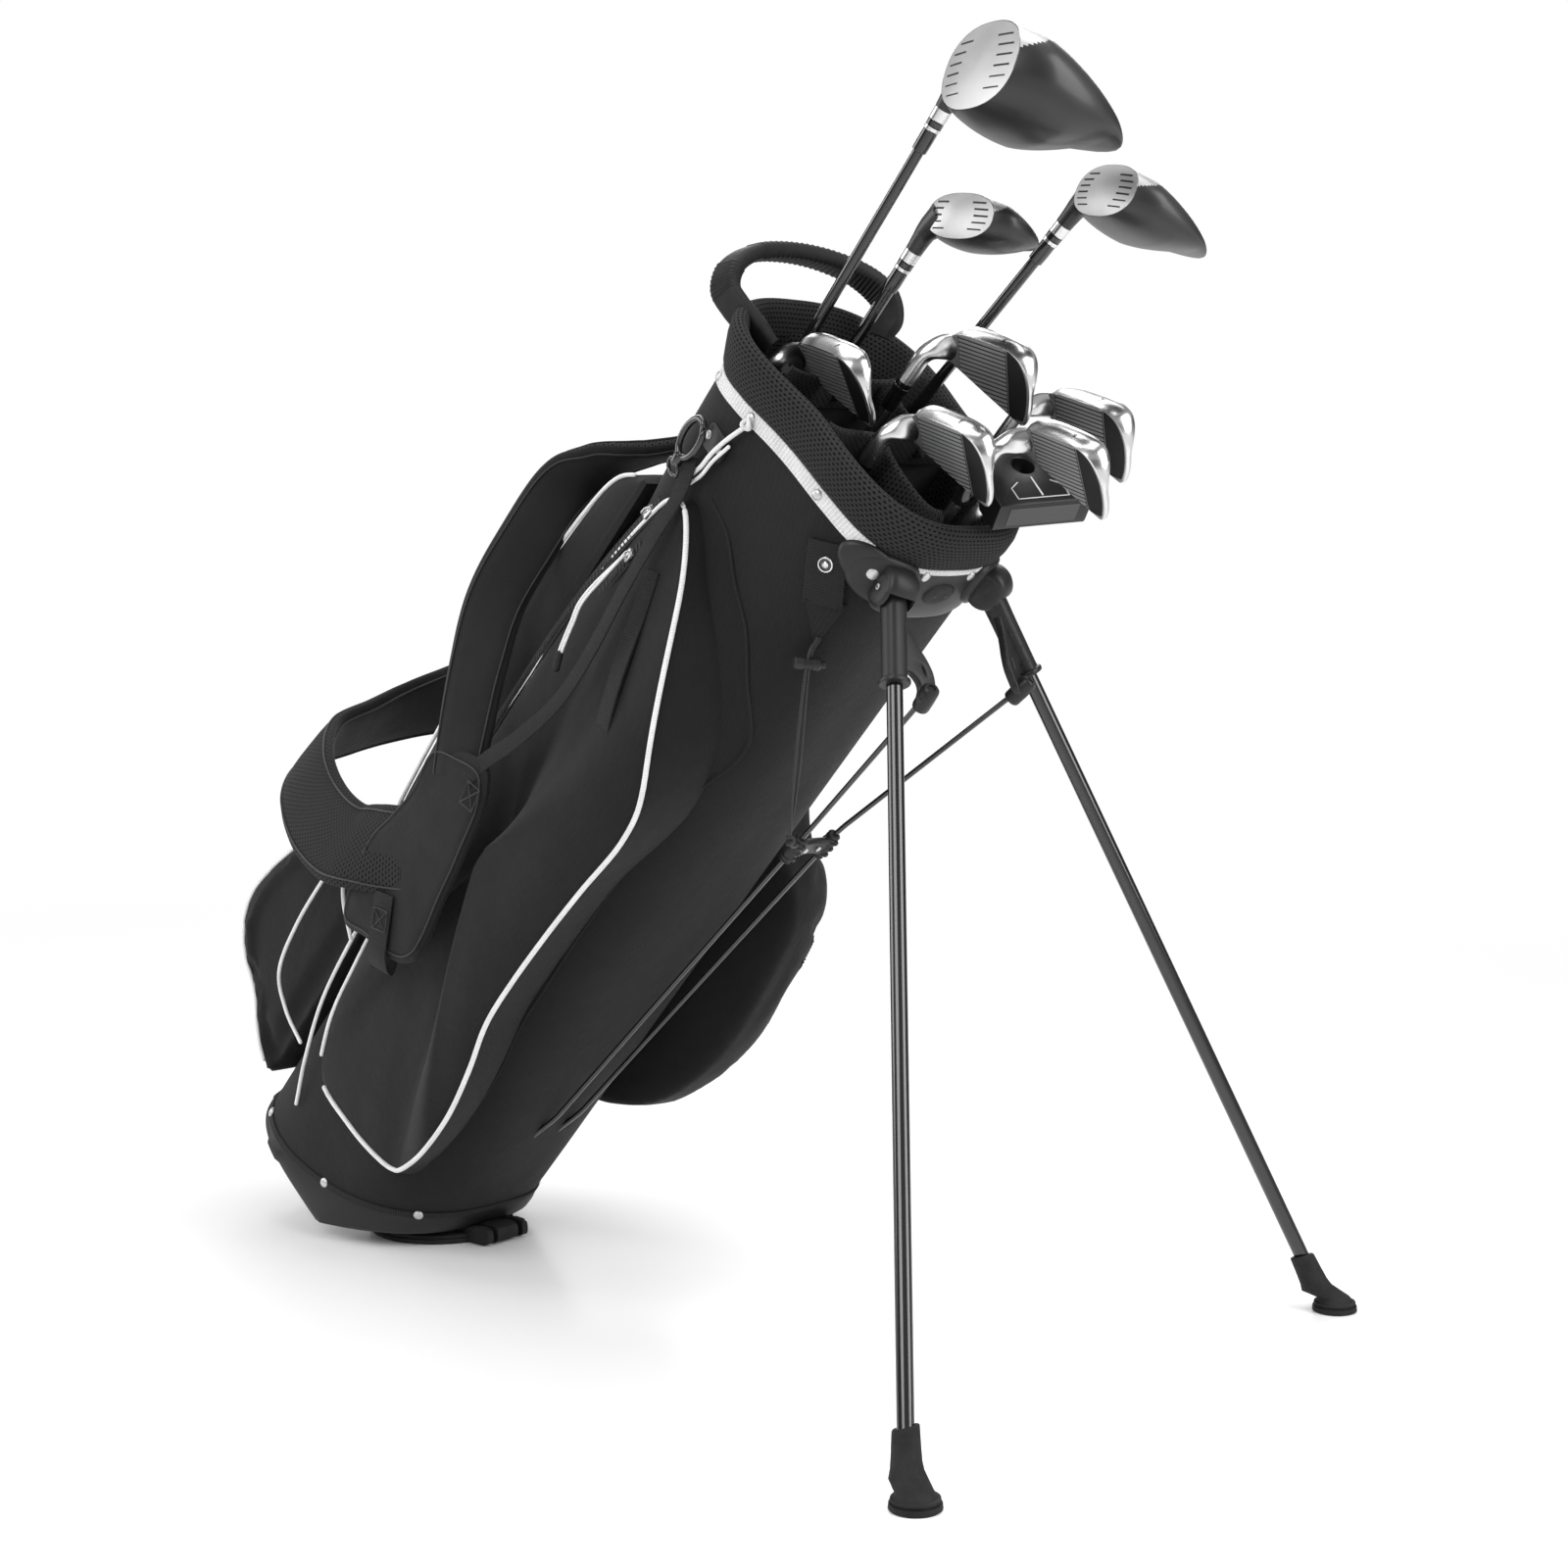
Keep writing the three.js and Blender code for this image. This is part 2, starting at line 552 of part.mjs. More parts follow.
function shaft(length, tip) {
  const radii = shaftRadii(tip);
  return turned([[0, 8.4], [radii.atGrip, 8.4], [radii.atGrip, GRIP_LENGTH + 4],
    [radii.tip, length - 150], [radii.tip, length + BORE_DEPTH - 1], [0, length + BORE_DEPTH - 1]], 12);
}

const ferrule = (length, tip, outer) => turned([[tip + GAP, length - FERRULE_LENGTH],
  [tip + 1.2, length - FERRULE_LENGTH], [outer, length - GAP], [tip + GAP, length - GAP],
  [tip + GAP, length - FERRULE_LENGTH]], 12);

const hoselBore = (length, tip) => rod(vec(0, 0, length - 1), vec(0, 0, length + BORE_DEPTH), tip + GAP,
  tip + GAP, 12);

// a wood's head, sole up: a rounded body with a flat face, leaning by the lie angle, on its hosel
function woodHead({ length, tip, wide, deep, high, hosel }) {
  const heelShare = 0.78;
  const faceAt = -deep * 0.36;
  const ball = new THREE.SphereGeometry(1, 22, 14);
  ball.rotateX(Math.PI / 2).scale(wide / 2, deep * 0.56, high / 2);
  const behindFace = box(-wide, wide, faceAt, deep, -high, high);
  const body = common(ball, behindFace);
  body.translate((heelShare * wide) / 2, -faceAt - deep * 0.1, 0);
  body.rotateY(WOOD_LIE - Math.PI / 2);
  body.translate(0, 0, length + hosel);
  const neck = rod(vec(0, 0, length), vec(0, 0, length + hosel + 4), 6.6, 7.4, 12);
  return cut(join(body, neck), hoselBore(length, tip));
}

// an iron's head, sole up: a lofted blade, a wide sole and a bent hosel
function ironHead({ length, tip, loft, hosel }) {
  const soleLine = [[0, 0], [30, 2.5], [66, 0], [78, -9], [80, -30]];
  const outline = [...soleLine, [74, -52], [66, -56], [10, -30], [-5, -24]];
  const blade = new THREE.Shape(outline.map(([x, z]) => new THREE.Vector2(x, z)));
  const plate = new THREE.ExtrudeGeometry(blade, { depth: 6, bevelEnabled: false });
  plate.rotateX(Math.PI / 2).translate(0, 6, 0);
  plate.rotateX(THREE.MathUtils.degToRad(loft));
  const solePoints = [[-2, -7], [-2, 1.5], [12, 1.5], [19, -4], [19, -8]];
  const soleShape = new THREE.Shape(solePoints.map(([y, z]) => new THREE.Vector2(y, z)));
  const sole = new THREE.ExtrudeGeometry(soleShape, { depth: 70, bevelEnabled: false });
  sole.applyMatrix4(new THREE.Matrix4().makeBasis(vec(0, 1, 0), vec(0, 0, 1), vec(1, 0, 0)));
  sole.translate(2, 0, 0);
  const head = join(plate, sole);
  head.rotateY(IRON_LIE - Math.PI / 2);
  head.translate(6, 2, length + hosel);
  const neck = rod(vec(0, 0, length), vec(0, 0, length + hosel - 10), 6.4, 6.6, 12);
  const bend = rod(vec(0, 0, length + hosel - 12), vec(10, 5, length + hosel - 6), 6.6, 7.4, 12);
  return cut(join(head, neck, bend), hoselBore(length, tip));
}

// the putter's mallet head, sole up, with a round hole behind the middle of its face
function putterHead({ length, tip }) {
  const outline = new THREE.Shape();
  outline.moveTo(-40, 0);
  outline.lineTo(40, 0);
  outline.lineTo(40, 24);
  outline.absarc(0, 26, 40, 0, Math.PI, false);
  outline.lineTo(-40, 0);
  outline.holes.push(new THREE.Path().absarc(0, 42, 9, 0, 2 * Math.PI, true));
  const mallet = new THREE.ExtrudeGeometry(outline, { depth: 24, bevelEnabled: false, curveSegments: 20 });
  mallet.translate(36, -28, 0);
  mallet.rotateY(PUTTER_LIE - Math.PI / 2);
  mallet.translate(0, 0, length + BORE_DEPTH + 4);
  const neck = rod(vec(0, 0, length), vec(0, 0, length + BORE_DEPTH + 14), 6.2, 6.2, 12);
  return cut(join(mallet, neck), hoselBore(length, tip));
}

// butt and mouth are places across the bag; length is from the butt to the hosel's rim; toe is an azimuth
const CLUBS = [
  { name: 'driver', butt: [-40, -40], mouth: [-84, -31], floor: CUP_FLOOR, length: 1070, toe: -28,
    kind: 'wood', wide: 118, deep: 128, high: 64, hosel: 34, tip: 4.4 },
  { name: 'hybrid', butt: [-56, -4], mouth: [-72, 8], floor: CUP_FLOOR, length: 962, toe: -16,
    kind: 'wood', wide: 90, deep: 68, high: 34, hosel: 40, tip: 4.6 },
  { name: 'fairway_wood', butt: [-84, 28], mouth: [-26, 62], floor: CUP_FLOOR, length: 1040, toe: -28,
    kind: 'wood', wide: 92, deep: 100, high: 40, hosel: 38, tip: 4.5 },
  { name: 'iron_pitch', butt: [-74, -60], mouth: [-84, -54], floor: CUP_FLOOR, length: 826, toe: -18,
    kind: 'iron', loft: 44, hosel: 52, tip: 4.6 },
  { name: 'iron_6', butt: [-26, 8], mouth: [-22, 18], floor: CUP_FLOOR, length: 890, toe: -6,
    kind: 'iron', loft: 28, hosel: 52, tip: 4.6 },
  { name: 'iron_7', butt: [44, 60], mouth: [48, 66], floor: STEP_FLOOR, length: 850, toe: -8,
    kind: 'iron', loft: 32, hosel: 52, tip: 4.6 },
  { name: 'iron_8', butt: [28, -46], mouth: [29, -47], floor: STEP_FLOOR, length: 808, toe: -12,
    kind: 'iron', loft: 36, hosel: 52, tip: 4.6 },
  { name: 'iron_9', butt: [74, -6], mouth: [87, -3], floor: STEP_FLOOR, length: 846, toe: -14,
    kind: 'iron', loft: 40, hosel: 52, tip: 4.6 },
  { name: 'putter', butt: [76, 34], mouth: [95, 14], floor: STEP_FLOOR, length: 798, toe: 75,
    kind: 'putter', tip: 4.6 },
];

const HEADS = { wood: woodHead, iron: ironHead, putter: putterHead };

function club(spec) {
  const butt = vec(spec.butt[0], spec.butt[1], spec.floor + 1);
  const mouth = vec(spec.mouth[0], spec.mouth[1], MOUTH_HEIGHT);
  const up = mouth.clone().sub(butt).normalize();
  const toeAngle = THREE.MathUtils.degToRad(spec.toe);
  const toe = vec(Math.cos(toeAngle), Math.sin(toeAngle), 0);
  toe.addScaledVector(up, -toe.dot(up)).normalize();
  const back = up.clone().cross(toe);
  const frame = new THREE.Group();
  frame.matrixAutoUpdate = false;
  frame.matrix.makeBasis(toe, back, up).setPosition(butt);
  bag.add(frame);

  const radii = shaftRadii(spec.tip);
  const steelShaft = spec.kind === 'putter' || spec.kind === 'iron';
  part(`${spec.name}_grip`, grip(radii.atGrip), rubber, frame);
  part(`${spec.name}_shaft`, shaft(spec.length, spec.tip), steelShaft ? steel : lacquer, frame);
  if (spec.kind !== 'putter') {
    part(`${spec.name}_ferrule`, ferrule(spec.length, spec.tip, 6.4), lacquer, frame);
  }
  const metal = spec.kind === 'iron' ? chrome : lacquer;
  part(`${spec.name}_head`, HEADS[spec.kind](spec), metal, frame);
}

CLUBS.forEach(club);

export default set;
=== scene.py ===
"""Golf club set: the looks of a stand bag and its nine clubs.

Sizes are in millimetres in the bag's own frame unless a comment says otherwise: z runs up the bag's axis,
x to its front, where the legs are, and y to its far side."""

import json
import math

import bmesh
import bpy
from mathutils import Matrix, Vector, noise
from mathutils.bvhtree import BVHTree


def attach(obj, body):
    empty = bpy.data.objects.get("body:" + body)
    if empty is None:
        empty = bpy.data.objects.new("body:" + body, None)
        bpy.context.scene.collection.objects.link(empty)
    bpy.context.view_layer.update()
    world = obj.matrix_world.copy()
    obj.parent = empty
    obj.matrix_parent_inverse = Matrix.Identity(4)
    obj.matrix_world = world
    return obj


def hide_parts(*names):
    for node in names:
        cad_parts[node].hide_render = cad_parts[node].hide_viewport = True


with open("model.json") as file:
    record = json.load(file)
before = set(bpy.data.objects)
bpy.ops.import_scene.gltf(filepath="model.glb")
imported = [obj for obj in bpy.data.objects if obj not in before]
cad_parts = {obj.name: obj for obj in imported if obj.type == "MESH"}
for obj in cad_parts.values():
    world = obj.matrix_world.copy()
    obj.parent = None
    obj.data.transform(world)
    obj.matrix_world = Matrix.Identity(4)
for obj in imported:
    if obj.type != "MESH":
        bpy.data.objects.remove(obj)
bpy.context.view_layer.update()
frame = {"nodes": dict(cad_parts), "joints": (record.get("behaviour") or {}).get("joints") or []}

# ---------------------------------------------------------------- frames

MM = 0.001
JOINTS = {j["name"]: j for j in frame["joints"]}
NODES = frame["nodes"]
# the foot plate turns from flat on the ground to square to the bag, so its range is the bag's lean
LEAN = math.radians(JOINTS["foot_plate_hinge"]["range_deg"][1])
TUBE_BOTTOM = 44  # the body tube's lower edge on the bag's axis


def node_points(name, matrix=Matrix.Identity(4)):
    """A CAD node's corners, seen through a matrix."""
    return [matrix @ v.co for v in NODES[name].data.vertices]


def extent(points):
    low = Vector(min(p[i] for p in points) for i in range(3))
    high = Vector(max(p[i] for p in points) for i in range(3))
    return low, high


def bag_frame():
    turn = Matrix.Rotation(LEAN, 4, "Y")
    low, high = extent(node_points("bag_tube", turn.inverted()))
    origin = Vector(((low.x + high.x) / 2, (low.y + high.y) / 2, low.z - TUBE_BOTTOM * MM))
    return Matrix.Translation(turn @ origin) @ turn @ Matrix.Scale(MM, 4)


BAG = bag_frame()
TO_BAG = BAG.inverted()
GROUND = Matrix.Scale(MM, 4)


def bag_box(name):
    """A CAD node's lowest and highest corner in the bag's frame."""
    return extent(node_points(name, TO_BAG))


HALF_DEPTH, HALF_WIDTH, _ = bag_box("bag_tube")[1]
OVAL_POWER = 3.0  # the bag's section is a superellipse
SIDE_WORDS = (("near", -1), ("far", 1))

# ---------------------------------------------------------------- materials


class Nodes:
    """Short spelling for building one material's node tree."""

    def __init__(self, name, tree=None):
        if tree:
            self.tree = tree
            return
        self.material = bpy.data.materials.new(name)
        self.material.use_nodes = True
        self.tree = self.material.node_tree
        self.shader = self.tree.nodes["Principled BSDF"]

    def add(self, kind, **values):
        node = self.tree.nodes.new("ShaderNode" + kind)
        for key, value in values.items():
            if hasattr(node, key):
                setattr(node, key, value)
            else:
                self.put(node.inputs[key.replace("_", " ")], value)
        return node

    def put(self, socket, value):
        if hasattr(value, "links"):
            self.tree.links.new(value, socket)
        else:
            socket.default_value = value

    def maths(self, operation, *values):
        node = self.add("Math", operation=operation)
        for socket, value in zip(node.inputs, values + (0.0, 0.0)):
            self.put(socket, value)
        return node.outputs[0]

    def plus(self, a, b):
        return self.maths("ADD", a, b)

    def minus(self, a, b):
        return self.maths("SUBTRACT", a, b)

    def times(self, a, b):
        return self.maths("MULTIPLY", a, b)

    def ramp(self, fac, *stops):
        node = self.add("ValToRGB")
        while len(node.color_ramp.elements) < len(stops):
            node.color_ramp.elements.new(0.5)
        for element, (place, colour) in zip(node.color_ramp.elements, stops):
            element.position = place
            element.color = grey(colour) if isinstance(colour, float) else colour
        self.put(node.inputs[0], fac)
        return node.outputs[0]

    def range(self, value, low, high):
        node = self.add("MapRange")
        self.put(node.inputs[0], value)
        node.inputs[3].default_value = low
        node.inputs[4].default_value = high
        return node.outputs[0]

    def noise(self, coords, scale, detail=4.0, rough=0.55):
        node = self.add("TexNoise", Scale=scale, Detail=detail, Roughness=rough)
        self.put(node.inputs["Vector"], coords)
        return node.outputs[0]

    def set(self, **values):
        for key, value in values.items():
            self.put(self.shader.inputs[key.replace("_", " ")], value)
        return self

    def bump(self, height, strength, distance=0.0005):
        last = self.shader.inputs["Normal"].links
        node = self.add("Bump", Strength=strength, Distance=distance)
        self.put(node.inputs["Height"], height)
        if last:
            self.put(node.inputs["Normal"], last[0].from_socket)
        self.put(self.shader.inputs["Normal"], node.outputs[0])
        return self

    def bag_coords(self):
        """Object coordinates turned so that the weave follows the bag's axis."""
        place = self.add("TexCoord").outputs["Object"]
        turned = self.add("Mapping", vector_type="POINT")
        turned.inputs["Rotation"].default_value = (0, -LEAN, 0)
        self.put(turned.inputs["Vector"], place)
        return turned.outputs[0]

    def object_coords(self):
        return self.add("TexCoord").outputs["Object"]

    def split(self, coords):
        node = self.add("SeparateXYZ")
        self.put(node.inputs[0], coords)
        return node.outputs

    def uv(self):
        return self.split(self.add("UVMap").outputs[0])[:2]


def grey(value):
    return (value, value, value, 1.0)


def wave(n, value, period):
    """A smooth 0-1 wave of the given period."""
    return n.range(n.maths("SINE", n.times(value, 2 * math.pi / period)), 0.0, 1.0)


def twill(name, tone, period=0.0016, sheen=0.25, strength=0.35):
    n = Nodes(name)
    coords = n.bag_coords()
    x, y, along = n.split(coords)
    across = n.plus(x, y)
    diagonal = wave(n, n.plus(along, across), period)
    cross = wave(n, n.minus(along, n.times(across, 2.0)), period * 0.5)
    weave = n.times(diagonal, n.plus(cross, 0.6))
    cloudy = n.noise(coords, 14.0)
    fine = n.noise(coords, 900.0, 2.0)
    mixed = n.plus(n.times(weave, 0.35), n.times(cloudy, 0.65))
    n.set(Base_Color=n.ramp(mixed, (0.2, tone * 0.6), (0.8, tone * 1.5)), Roughness=n.range(fine, 0.62, 0.9))
    n.set(Sheen_Weight=sheen, Sheen_Roughness=0.5, Specular_IOR_Level=0.2)
    n.bump(weave, strength * 1.4, 0.0005).bump(cloudy, 0.4, 0.006)
    return n.material


def air_mesh(name, tone=0.008, pitch=0.0046):
    """Padded knit with staggered rows of small oval holes, drawn from UV in metres; the holes are painted
    near black as the shade inside them.
    """
    n = Nodes(name)
    u, v = n.uv()
    row = n.maths("DIVIDE", v, pitch * 0.8)
    shift = n.times(n.maths("MODULO", n.maths("FLOOR", row), 2.0), 0.5)
    column = n.plus(n.maths("DIVIDE", u, pitch), shift)
    du = n.minus(n.maths("FRACT", column), 0.5)
    dv = n.minus(n.maths("FRACT", row), 0.5)
    round_ = n.plus(n.times(du, du),
                     n.times(n.times(dv, dv), 2.2))
    hole = n.ramp(round_, (0.06, 0.0), (0.12, 1.0))
    fibre = n.noise(n.object_coords(), 1500.0, 3.0)
    # painted shade: the holes' colour is near black for the shade inside them; the fibre noise is the yarn's
    # own tone
    fibre_and_painted_hole_shade = n.times(hole, n.range(fibre, 0.7, 1.3))
    n.set(Base_Color=n.ramp(fibre_and_painted_hole_shade, (0.0, 0.0003), (1.0, tone * 3.4)), Roughness=0.85)
    n.set(Sheen_Weight=0.03, Sheen_Roughness=0.45, Specular_IOR_Level=0.1)
    n.bump(hole, 1.0, 0.0012).bump(fibre, 0.3, 0.0003)
    return n.material


def webbing(name, tone, rib=0.0022):
    """Woven strap: cross ribs and a finer lengthwise warp, drawn from UV (v runs along the strap)."""
    n = Nodes(name)
    u, v = n.uv()
    ribs = wave(n, v, rib)
    warp = wave(n, u, rib * 0.55)
    weave = n.times(n.plus(ribs, 0.3), n.plus(warp, 0.5))
    cloudy = n.noise(n.object_coords(), 60.0)
    mixed = n.plus(n.times(weave, 0.4), n.times(cloudy, 0.4))
    n.set(Base_Color=n.ramp(mixed, (0.1, tone * 0.55), (0.9, tone * 1.5)), Roughness=0.7, Sheen_Weight=0.05,
          Specular_IOR_Level=0.2)
    n.bump(weave, 0.7, 0.0007)
    return n.material


def cord(name, tone):
    """Braided cord or piping: slanted strands, drawn from UV."""
    n = Nodes(name)
    u, v = n.uv()
    strands = wave(n, n.plus(v, n.times(u, 0.6)), 0.0024)
    soil = n.noise(n.object_coords(), 45.0)
    mixed = n.plus(n.times(strands, 0.3), n.times(soil, 0.6))
    n.set(Base_Color=n.ramp(mixed, (0.1, tone * 0.72), (0.7, tone)), Roughness=0.6, Sheen_Weight=0.1)
    n.bump(strands, 0.5, 0.0005)
    return n.material


def moulded(name, tone, rough=0.42, grain=2200.0, strength=0.12):
    """Moulded plastic: fine spark-eroded grain, slight colour drift, shinier sharp edges and a painted
    highlight that colours those edges lighter.
    """
    n = Nodes(name)
    coords = n.object_coords()
    fine = n.noise(coords, grain, 2.0)
    broad = n.noise(coords, 30.0)
    edge = n.ramp(n.add("NewGeometry").outputs["Pointiness"], (0.5, 0.0), (0.62, 1.0))
    # painted highlight: sharp edges are coloured lighter, as where they catch the light
    colour = n.plus(n.times(broad, 0.5), n.times(edge, 0.4))
    n.set(Base_Color=n.ramp(colour, (0.1, tone * 0.75), (0.9, tone * 1.8)))
    n.set(Roughness=n.minus(n.range(broad, rough - 0.05, rough + 0.1),
                            n.times(edge, 0.08)))
    n.set(Specular_IOR_Level=0.32)
    n.bump(fine, strength, 0.0002)
    return n.material


def rubber(name, tone, rough=0.7):
    n = Nodes(name)
    coords = n.object_coords()
    dust = n.noise(coords, 90.0, 6.0, 0.7)
    fine = n.noise(coords, 1400.0, 2.0)
    n.set(Base_Color=n.ramp(dust, (0.3, tone * 0.7), (0.75, tone * 1.7)),
          Roughness=n.range(fine, rough - 0.1, rough + 0.12))
    n.set(Specular_IOR_Level=0.25)
    n.bump(fine, 0.2, 0.0003).bump(dust, 0.15, 0.0006)
    return n.material


def lacquer(name, tone, rough=0.12, fleck=0.0, coat=0.6):
    """Gloss paint under clear coat, with a little orange peel."""
    n = Nodes(name)
    coords = n.object_coords()
    peel = n.noise(coords, 420.0, 2.0)
    broad = n.noise(coords, 25.0)
    n.set(Base_Color=n.ramp(broad, (0.2, tone * 0.8), (0.8, tone * 1.4 + fleck)),
          Roughness=n.range(broad, rough, rough + 0.08))
    n.set(Coat_Weight=coat, Coat_Roughness=rough * 0.5, IOR=1.5)
    n.bump(peel, 0.04, 0.0003)
    return n.material


def metal(name, tone, rough, scratch=0.03, stretch=(1, 1, 1), scale=300.0):
    """Bare metal; a stretched noise gives a brushed or a hand-polished surface."""
    n = Nodes(name)
    mapping = n.add("Mapping")
    mapping.inputs["Scale"].default_value = stretch
    n.put(mapping.inputs["Vector"], n.bag_coords())
    lines = n.noise(mapping.outputs[0], scale, 3.0, 0.65)
    smudge = n.noise(n.object_coords(), 40.0)
    n.set(Base_Color=n.ramp(smudge, (0.3, tone * 0.93), (0.7, tone)), Metallic=1.0)
    n.set(Roughness=n.plus(n.range(lines, rough, rough + scratch * 2),
                            n.times(smudge, scratch)))
    n.bump(lines, min(1.0, scratch * 3), 0.0002)
    return n.material


MAT = {
    "twill": twill("black_twill", 0.0085, 0.0016, 0.06),
    "twill_smooth": twill("strap_cloth", 0.011, 0.0011, 0.08, 0.2),
    "mesh": air_mesh("black_air_mesh"),
    "tape": webbing("white_woven_tape", 0.72, 0.0032),
    "webbing": webbing("black_webbing", 0.012),
    "white_cord": cord("white_piping", 0.85),
    "black_cord": cord("black_cord", 0.014),
    "plastic": moulded("moulded_plastic", 0.014),
    "cup": moulded("cup_plastic", 0.011, 0.5, 1600.0, 0.2),
    "handle": rubber("handle_rubber", 0.011, 0.6),
    "rubber": rubber("black_rubber", 0.012),
    "black_gloss": lacquer("gloss_black_fitting", 0.008, 0.22),
    "grip": rubber("grip_rubber", 0.012),
    "tube": lacquer("black_tube_paint", 0.004, 0.16),
    "shaft": lacquer("shaft_lacquer", 0.005, 0.08),
    "head": lacquer("head_lacquer", 0.006, 0.42, 0.003, 0.25),
    "mallet": moulded("mallet_black", 0.008, 0.36, 2600.0, 0.08),
    "chrome": metal("polished_chrome", 0.7, 0.19, 0.03),
    "steel": metal("drawn_steel", 0.7, 0.14, 0.05, (1, 1, 0.05), 500.0),
    "satin": metal("satin_silver", 0.6, 0.34, 0.08, (0.08, 1, 1), 800.0),
    "face": metal("grooved_face", 0.52, 0.42, 0.1, (0.1, 1, 1), 700.0),
    # painted reflection: dark metal for the dark surroundings that polished steel mirrors, on the iron's toe
    # plate and the putter's steel insert
    "toe": metal("dark_painted_reflection_metal", 0.09, 0.34, 0.08, (0.1, 1, 1), 700.0),
    # dark paint for score lines and the iron's number, and painted shade in holes, grooves, sockets and screw
    # slots
    "dark_paint_and_shade": moulded("dark_paint_and_recess_shade", 0.01, 0.5),
    "zinc": metal("zip_metal", 0.62, 0.18, 0.06),
    "mark": cord("white_paint_mark", 0.8),
}

# ---------------------------------------------------------------- mesh helpers


def linked(name, data):
    """A new object in the scene."""
    made = bpy.data.objects.new(name, data)
    bpy.context.scene.collection.objects.link(made)
    return made


def place_object(name, mesh, body, replaces=()):
    piece = linked(name, mesh)
    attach(piece, body)
    if replaces:
        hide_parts(*replaces)
    return piece


def frozen(name, curve):
    """The mesh of a text or curve."""
    holder = linked(name, curve)
    mesh = bpy.data.meshes.new_from_object(holder.evaluated_get(bpy.context.evaluated_depsgraph_get()))
    bpy.data.objects.remove(holder)
    return mesh


def clean(mesh, smooth):
    """Merges doubled points, turns the faces outward and marks edges sharper than `smooth` degrees."""
    work = bmesh.new()
    work.from_mesh(mesh)
    bmesh.ops.remove_doubles(work, verts=work.verts, dist=2e-6)
    bmesh.ops.dissolve_degenerate(work, edges=work.edges, dist=1e-7)
    bmesh.ops.recalc_face_normals(work, faces=work.faces)
    limit = math.radians(smooth)
    for edge in work.edges:
        edge.smooth = not (len(edge.link_faces) == 2 and edge.calc_face_angle(0) > limit)
    for f in work.faces:
        f.smooth = True
    work.to_mesh(mesh)
    work.free()


def axes(origin, x, y, z):
    """A frame at `origin` with the given axes."""
    return Matrix.Translation(origin) @ Matrix((x, y, z)).transposed().to_4x4()


class Shape:
    """Collects the vertices, faces, UVs and materials of one piece, in a local millimetre frame."""

    def __init__(self, name, matrix, *materials):
        self.name = name
        self.matrix = matrix
        self.materials = [MAT[m] for m in materials]
        self.verts = []
        self.faces = []
        self.uvs = []
        self.slots = []
        self.sharp = set()

    def vert(self, point):
        self.verts.append(Vector(point))
        return len(self.verts) - 1

    def face(self, corners, uvs=None, slot=0):
        self.faces.append(tuple(corners))
        self.uvs.append(uvs or [(0.0, 0.0)] * len(corners))
        self.slots.append(slot)

    def loft(self, rings, slot=0, closed=True, caps=(True, True), slot_of=None):
        """Joins rings of equal length with quads; u runs round a ring and v along the rings, in metres."""
        count = len(rings[0])
        index = [[self.vert(p) for p in ring] for ring in rings]
        middle = rings[len(rings) // 2]
        around = [0.0]
        for i in range(count):
            around.append(around[-1] + (Vector(middle[(i + 1) % count]) - Vector(middle[i])).length * MM)
        v = 0.0
        for r in range(len(rings) - 1):
            step = max((Vector(rings[r + 1][i]) - Vector(rings[r][i])).length
                       for i in range(0, count, max(1, count // 8)))
            after = v + step * MM
            for i in range(count if closed else count - 1):
                j = (i + 1) % count
                which = slot_of(r, i) if slot_of else slot
                self.face(
                    (index[r][i], index[r][j], index[r + 1][j], index[r + 1][i]),
                    [(around[i], v), (around[i + 1], v), (around[i + 1], after), (around[i], after)],
                    which,
                )
            v = after
        for at, wanted, flip in ((0, caps[0], True), (-1, caps[1], False)):
            if wanted and closed:
                centre = sum((Vector(p) for p in rings[at]), Vector()) / count
                hub = self.vert(centre)
                which = slot_of(at, 0) if slot_of else slot
                for i in range(count):
                    j = (i + 1) % count
                    edge = (index[at][j], index[at][i]) if flip else (index[at][i], index[at][j])
                    flat = [((self.verts[k] - centre).x * MM, (self.verts[k] - centre).y * MM)
                            for k in (*edge, hub)]
                    self.face((*edge, hub), flat, which)
        return self

    def lathe(self, profile, matrix=Matrix.Identity(4), sides=40, slot=0, slot_of=None):
        """Turns [radius, height] pairs about the local z axis; ends on the axis are closed."""
        rings = [[matrix @ Vector((x, y, height)) for x, y in circle(radius, sides)] for radius,
                 height in profile]
        return self.loft(rings, slot, slot_of=slot_of)

    def box(self, low, high, slot=0):
        (x0, y0, z0), (x1, y1, z1) = low, high
        corners = ((x0, y0), (x1, y0), (x1, y1), (x0, y1))
        return self.loft([[Vector((x, y, z)) for x, y in corners] for z in (z0, z1)], slot)

    def mesh(self, smooth=40.0):
        made = bpy.data.meshes.new(self.name)
        made.from_pydata([self.matrix @ v for v in self.verts], [], self.faces)
        for m in self.materials:
            made.materials.append(m)
        layer = made.uv_layers.new(name="UVMap")
        flat = [c for uvs in self.uvs for uv in uvs for c in uv]
        layer.data.foreach_set("uv", flat)
        made.polygons.foreach_set("material_index", self.slots)
        clean(made, smooth)
        return made

    def add(self, body="bag", replaces=(), slot=None, smooth=40.0):
        return place_object(self.name, self.mesh(smooth), body, replaces)


def curve_points(points, count, closed=False):
    """Catmull-Rom points through the given ones, evenly spaced by parameter."""
    points = [Vector(p) for p in points]
    spans = len(points) if closed else len(points) - 1
    out = []
    for i in range(count if closed else count + 1):
        t = i / count * spans
        k = min(int(t), spans - 1)
        t -= k
        if closed:
            a, b, c, d = (points[(k + s) % len(points)] for s in (-1, 0, 1, 2))
        else:
            b, c = points[k], points[k + 1]
            a = points[k - 1] if k else b * 2 - c
            d = points[k + 2] if k + 2 < len(points) else c * 2 - b
        out.append(
            (b * 2 + (c - a) * t + (a * 2 - b * 5 + c * 4 - d) * t * t + (b * 3 - a - c * 3 + d) * t**3) * 0.5
        )
    return out


